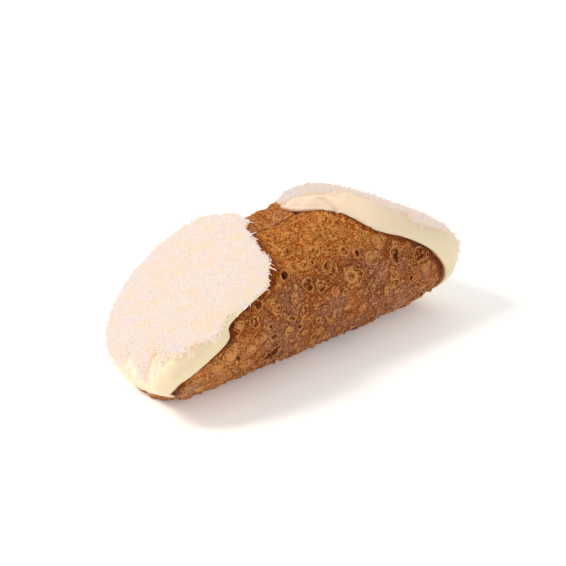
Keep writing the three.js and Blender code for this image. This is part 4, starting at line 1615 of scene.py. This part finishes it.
@dataclass
class CoconutCoat:
    """Coconut scattered over both mounds of cream, real strips of flesh at true size."""

    filling: CreamFilling
    mounds: Mapping[int, Array]
    finish: DriedCoconut
    cuts: tuple[Cut, ...] = (
        Cut(
            CutKind.SHRED, count=7000, length=(1.3, 3.0), width=(0.25, 0.44), thickness=(0.12, 0.2),
            rings=4, sides=4, tilt=13, pile=(0.25, 0.85), curl=0.22, seed=5,
        ),
        Cut(
            CutKind.SLIVER, count=14000, length=(0.7, 1.8), width=(0.24, 0.42), thickness=(0.14, 0.24),
            rings=3, sides=3, tilt=15, pile=(0.1, 0.7), curl=0.12, seed=6,
        ),
        Cut(
            CutKind.CRUMB, count=20000, length=(0.35, 0.9), width=(0.3, 0.5), thickness=(0.25, 0.4),
            rings=2, sides=3, tilt=25, pile=(0.0, 0.55), curl=0.0, seed=7,
        ),
    )
    shortness: float = 1.3  # how far short ones outnumber long ones
    upright: float = 0.08  # share that stands up more than the rest
    upright_tilt: float = 30.0  # how much more, in degrees
    roll: float = 0.7  # radians that a strip may turn about its length, either way
    heaping: float = 0.55  # how unevenly the coat is piled
    heap_size: float = 2.6
    strays: float = 0.035  # share that falls just past the coat's edge
    over_dough: float = 0.12  # height of its lowest points where it hangs over the dough
    over_table: float = 0.3

    def cells(self) -> tuple[Array, Array, Array]:
        """Splits the covered cream into small squares.

        Returns:
            The four corners of each square, its outward normal, and its weight.
        """
        corners, normals, weights = [], [], []
        for form in (self.filling.near, self.filling.far):
            rings = self.mounds[form.end]
            count = len(rings)
            beside = np.roll(rings, -1, axis=1)
            quads = np.stack([rings[:-1], rings[1:], beside[1:], beside[:-1]], axis=2)
            angle = -180 + 360 * (np.arange(rings.shape[1]) + 0.5) / rings.shape[1]
            share = (np.arange(count - 1) + 0.5)[:, None] / (count - 1)
            cross = np.cross(quads[:, :, 2] - quads[:, :, 0], quads[:, :, 3] - quads[:, :, 1])
            area = np.linalg.norm(cross, axis=-1) / 2
            middle = quads.mean(axis=2)
            uneven = LatticeNoise(60 + form.end)(middle, 3.0)
            thinning = smoothstep(share - form.cover(angle)[None, :] + 0.05 * uneven, -form.fray, 0.05)
            corners.append(quads.reshape(-1, 4, 3))
            normals.append((-form.end * unit(cross)).reshape(-1, 3))
            stray = self.strays * (1 - smoothstep(share - form.cover(angle)[None, :], 0.04, 0.16))
            weights.append((area * np.maximum(1 - thinning, stray)).ravel())
        return np.concatenate(corners), np.concatenate(normals), np.concatenate(weights)

    def scatter(self, cut: Cut) -> tuple[Array, Array]:
        """Makes all the strips of one cut.

        Args:
            cut: The cut.

        Returns:
            Points as (strip, step along it, corner) and a shade for each strip.
        """
        random = np.random.default_rng(cut.seed)
        corners, normals, weights = self.cells()
        total = np.cumsum(weights)
        chance = (np.arange(cut.count) + random.uniform(size=cut.count)) / cut.count
        pick = np.searchsorted(total, chance * total[-1])
        pick = np.minimum(pick, len(corners) - 1)
        s, t = random.uniform(size=(2, cut.count, 1))
        a, b, c, d = (corners[pick, i] for i in range(4))
        place = lerp(lerp(a, b, s), lerp(d, c, s), t)
        normal = normals[pick]
        flat = unit(np.cross(normal, random.normal(size=(cut.count, 3))))
        tilt = np.abs(random.normal(0, cut.tilt, (cut.count, 1)))
        upright = random.uniform(size=(cut.count, 1)) < self.upright
        tilt = np.radians(np.where(upright, tilt + self.upright_tilt, tilt))
        along = flat * np.cos(tilt) + normal * np.sin(tilt)
        side = unit(np.cross(along, normal))
        up = np.cross(side, along)
        roll = random.uniform(-self.roll, self.roll, (cut.count, 1))
        side, up = side * np.cos(roll) + up * np.sin(roll), up * np.cos(roll) - side * np.sin(roll)
        length, width, thickness = (
            lerp(*size, random.uniform(size=(cut.count, 1)) ** self.shortness)
            for size in (cut.length, cut.width, cut.thickness)
        )
        depth = random.uniform(size=(cut.count, 1))
        heap = 1 + self.heaping * LatticeNoise(80)(place, self.heap_size)[:, None]
        pile = lerp(*cut.pile, depth) * heap + 0.35 * length * np.sin(tilt)
        bend = random.normal(0, cut.curl, (cut.count, 1))
        curl = random.normal(0, cut.curl, (cut.count, 1))
        steps = np.linspace(-0.5, 0.5, cut.rings)
        turns = 2 * math.pi * np.arange(cut.sides) / cut.sides
        taper = np.where(np.abs(steps) > 0.49, random.uniform(0.25, 0.8, (cut.count, 1)), 1.0)
        strips = []
        for k, step in enumerate(steps):
            bow = (0.25 - step**2) * length
            middle = place + normal * pile + along * step * length + side * bend * bow + up * curl * bow
            half_width = side * width * taper[:, k : k + 1] / 2
            half_up = up * thickness * (0.6 + 0.4 * taper[:, k : k + 1]) / 2
            corner = [middle + half_width * math.cos(turn) + half_up * math.sin(turn) for turn in turns]
            strips.append(np.stack(corner, axis=1))
        deep_in_pile = smoothstep(0.5 - depth[:, 0] + 0.9 * LatticeNoise(81)(place, 2.3), 0.06, 0.6)
        return np.stack(strips, axis=1), deep_in_pile * random.uniform(0.6, 1.0, cut.count)

    def clear_of_dough(self, points: Array) -> Array:
        """Lifts what would reach into the dough so that it lies on the dough instead."""
        tube = self.filling.shell.tube
        angle, radius = tube.polar(points)
        x = points[..., 0]
        near, far = tube.ends(angle)
        over = (x > near - 0.6) & (x < far + 0.6) & (radius > tube.radius - 4)
        lifted = np.maximum(radius, self.filling.dough_top(angle, x) + self.over_dough)
        moved = tube.around(angle, x, np.where(over, lifted, radius))
        moved[..., 2] = np.maximum(moved[..., 2], self.over_table)
        return moved

    def build(self) -> None:
        """Builds one piece for each cut of coconut."""
        material = self.finish.material()
        for cut in self.cuts:
            strips, shade = self.scatter(cut)
            points = self.clear_of_dough(strips.reshape(-1, 3))
            each = cut.rings * cut.sides
            first = np.arange(cut.count)[:, None, None] * each
            walls = grid_faces(cut.rings, cut.sides, True)[:, ::-1]
            caps = np.array([range(cut.sides), range(each - 1, each - 1 - cut.sides, -1)])
            faces = [(group[None] + first).reshape(-1, group.shape[1]) for group in (walls, caps)]
            # away is painted shade: it dims the glow of the heap on the far mound.
            attributes = {"tint": np.repeat(shade, each), "away": 0.42 * smoothstep(points[:, 0], -5, 5)}
            name = f"coconut_{cut.kind.name.lower()}s"
            piece = add_piece(name, points, faces, material, attributes, smooth=False)


# ---- The setting ----


@dataclass(frozen=True)
class SoftBox:
    """A square lamp behind white cloth, which gives soft shadows."""

    name: str
    place: tuple[float, float, float]  # in metres to the camera's right, up and back
    power: float  # in watts
    side: float  # in metres
    tint: str


@dataclass(frozen=True)
class Studio:
    """A pale table in soft daylight, and the camera."""

    azimuth: float = 43.67  # degrees from +Y towards +X that the camera looks along
    elevation: float = 24.0
    distance: float = 500.0  # from the aim, in millimetres
    field_width: float = 158.27  # of the picture at the aim, in millimetres
    aim: tuple[float, float, float] = (0.0, 0.0, 19.6)
    aside: tuple[float, float] = (1.19, -0.44)  # how far the aim lies from the picture's middle
    sensor: float = 36.0
    table_half: float = 3.0  # half of the table's side, in metres
    table_finish: MattPaint = MattPaint()
    lamps: tuple[SoftBox, ...] = (
        SoftBox("key", (-0.66, 0.62, 0.42), 6.6, 0.3, "#fff4e6"),
        SoftBox("fill", (0.7, 0.2, 0.6), 1.4, 0.8, "#f6f8ff"),
    )
    sky: float = 0.7
    sky_colour: tuple[float, float, float, float] = (1.0, 0.985, 0.965, 1.0)

    def axes(self) -> tuple[Vector, Vector, Vector]:
        """Gives the camera's right, up and forward directions."""
        a, e = math.radians(self.azimuth), math.radians(self.elevation)
        right = Vector((math.cos(a), -math.sin(a), 0))
        away = Vector((math.sin(a), math.cos(a), 0))
        forward = away * math.cos(e) - Vector((0, 0, math.sin(e)))
        return right, right.cross(forward), forward

    def camera(self) -> None:
        """Sets up the camera."""
        right, up, forward = self.axes()
        data = bpy.data.cameras.new("camera")
        data.sensor_width = self.sensor
        data.lens = self.sensor * self.distance / self.field_width
        data.clip_start, data.clip_end = 0.01, 20.0
        camera = add_object("camera", data)
        middle = Vector(self.aim) + right * self.aside[0] + up * self.aside[1]
        turn = Matrix((right, up, -forward)).transposed().to_4x4()
        camera.matrix_world = Matrix.Translation((middle - forward * self.distance) * MM) @ turn
        bpy.context.scene.camera = camera

    def light(self, lamp: SoftBox) -> None:
        """Adds a lamp that faces the cannoli."""
        right, up, forward = self.axes()
        data = bpy.data.lights.new(lamp.name, "AREA")
        data.energy, data.size, data.color = lamp.power, lamp.side, linear(lamp.tint)[:3]
        place = right * lamp.place[0] + up * lamp.place[1] - forward * lamp.place[2]
        made = add_object(lamp.name, data)
        made.location = place
        made.rotation_euler = place.to_track_quat("Z", "Y").to_euler()

    def table(self) -> None:
        """Lays the pale table."""
        half = self.table_half
        mesh = bpy.data.meshes.new("table")
        corners = [(-half, -half, 0), (half, -half, 0), (half, half, 0), (-half, half, 0)]
        mesh.from_pydata(corners, [], [(0, 1, 2, 3)])
        mesh.materials.append(self.table_finish.material())
        add_object("table", mesh)

    def world(self) -> None:
        """Surrounds everything with an even pale sky."""
        world = bpy.data.worlds.new("sky")
        world.use_nodes = True
        background = world.node_tree.nodes["Background"]
        background.inputs["Color"].default_value = self.sky_colour
        background.inputs["Strength"].default_value = self.sky
        bpy.context.scene.world = world

    def build(self) -> None:
        """Sets up the whole studio."""
        bpy.context.scene.view_settings.view_transform = "Standard"
        self.camera()
        for lamp in self.lamps:
            self.light(lamp)
        self.table()
        self.world()


def main() -> None:
    """Builds the cannoli in order: the setting, the dough, the cream and the coconut."""
    logging.basicConfig(level=logging.INFO, format="%(name)s %(message)s")
    Studio().build()
    tube = TubeForm()
    blisters = BlisterField(tube)
    LOG.info("blisters: %d", len(blisters.blisters))
    shell = DoughShell(tube, blisters, FriedDough())
    shell.build()
    filling = CreamFilling(shell, PastryCream())
    mounds = filling.build()
    CoconutCoat(filling, mounds, DriedCoconut()).build()


if __name__ == "__main__":
    main()
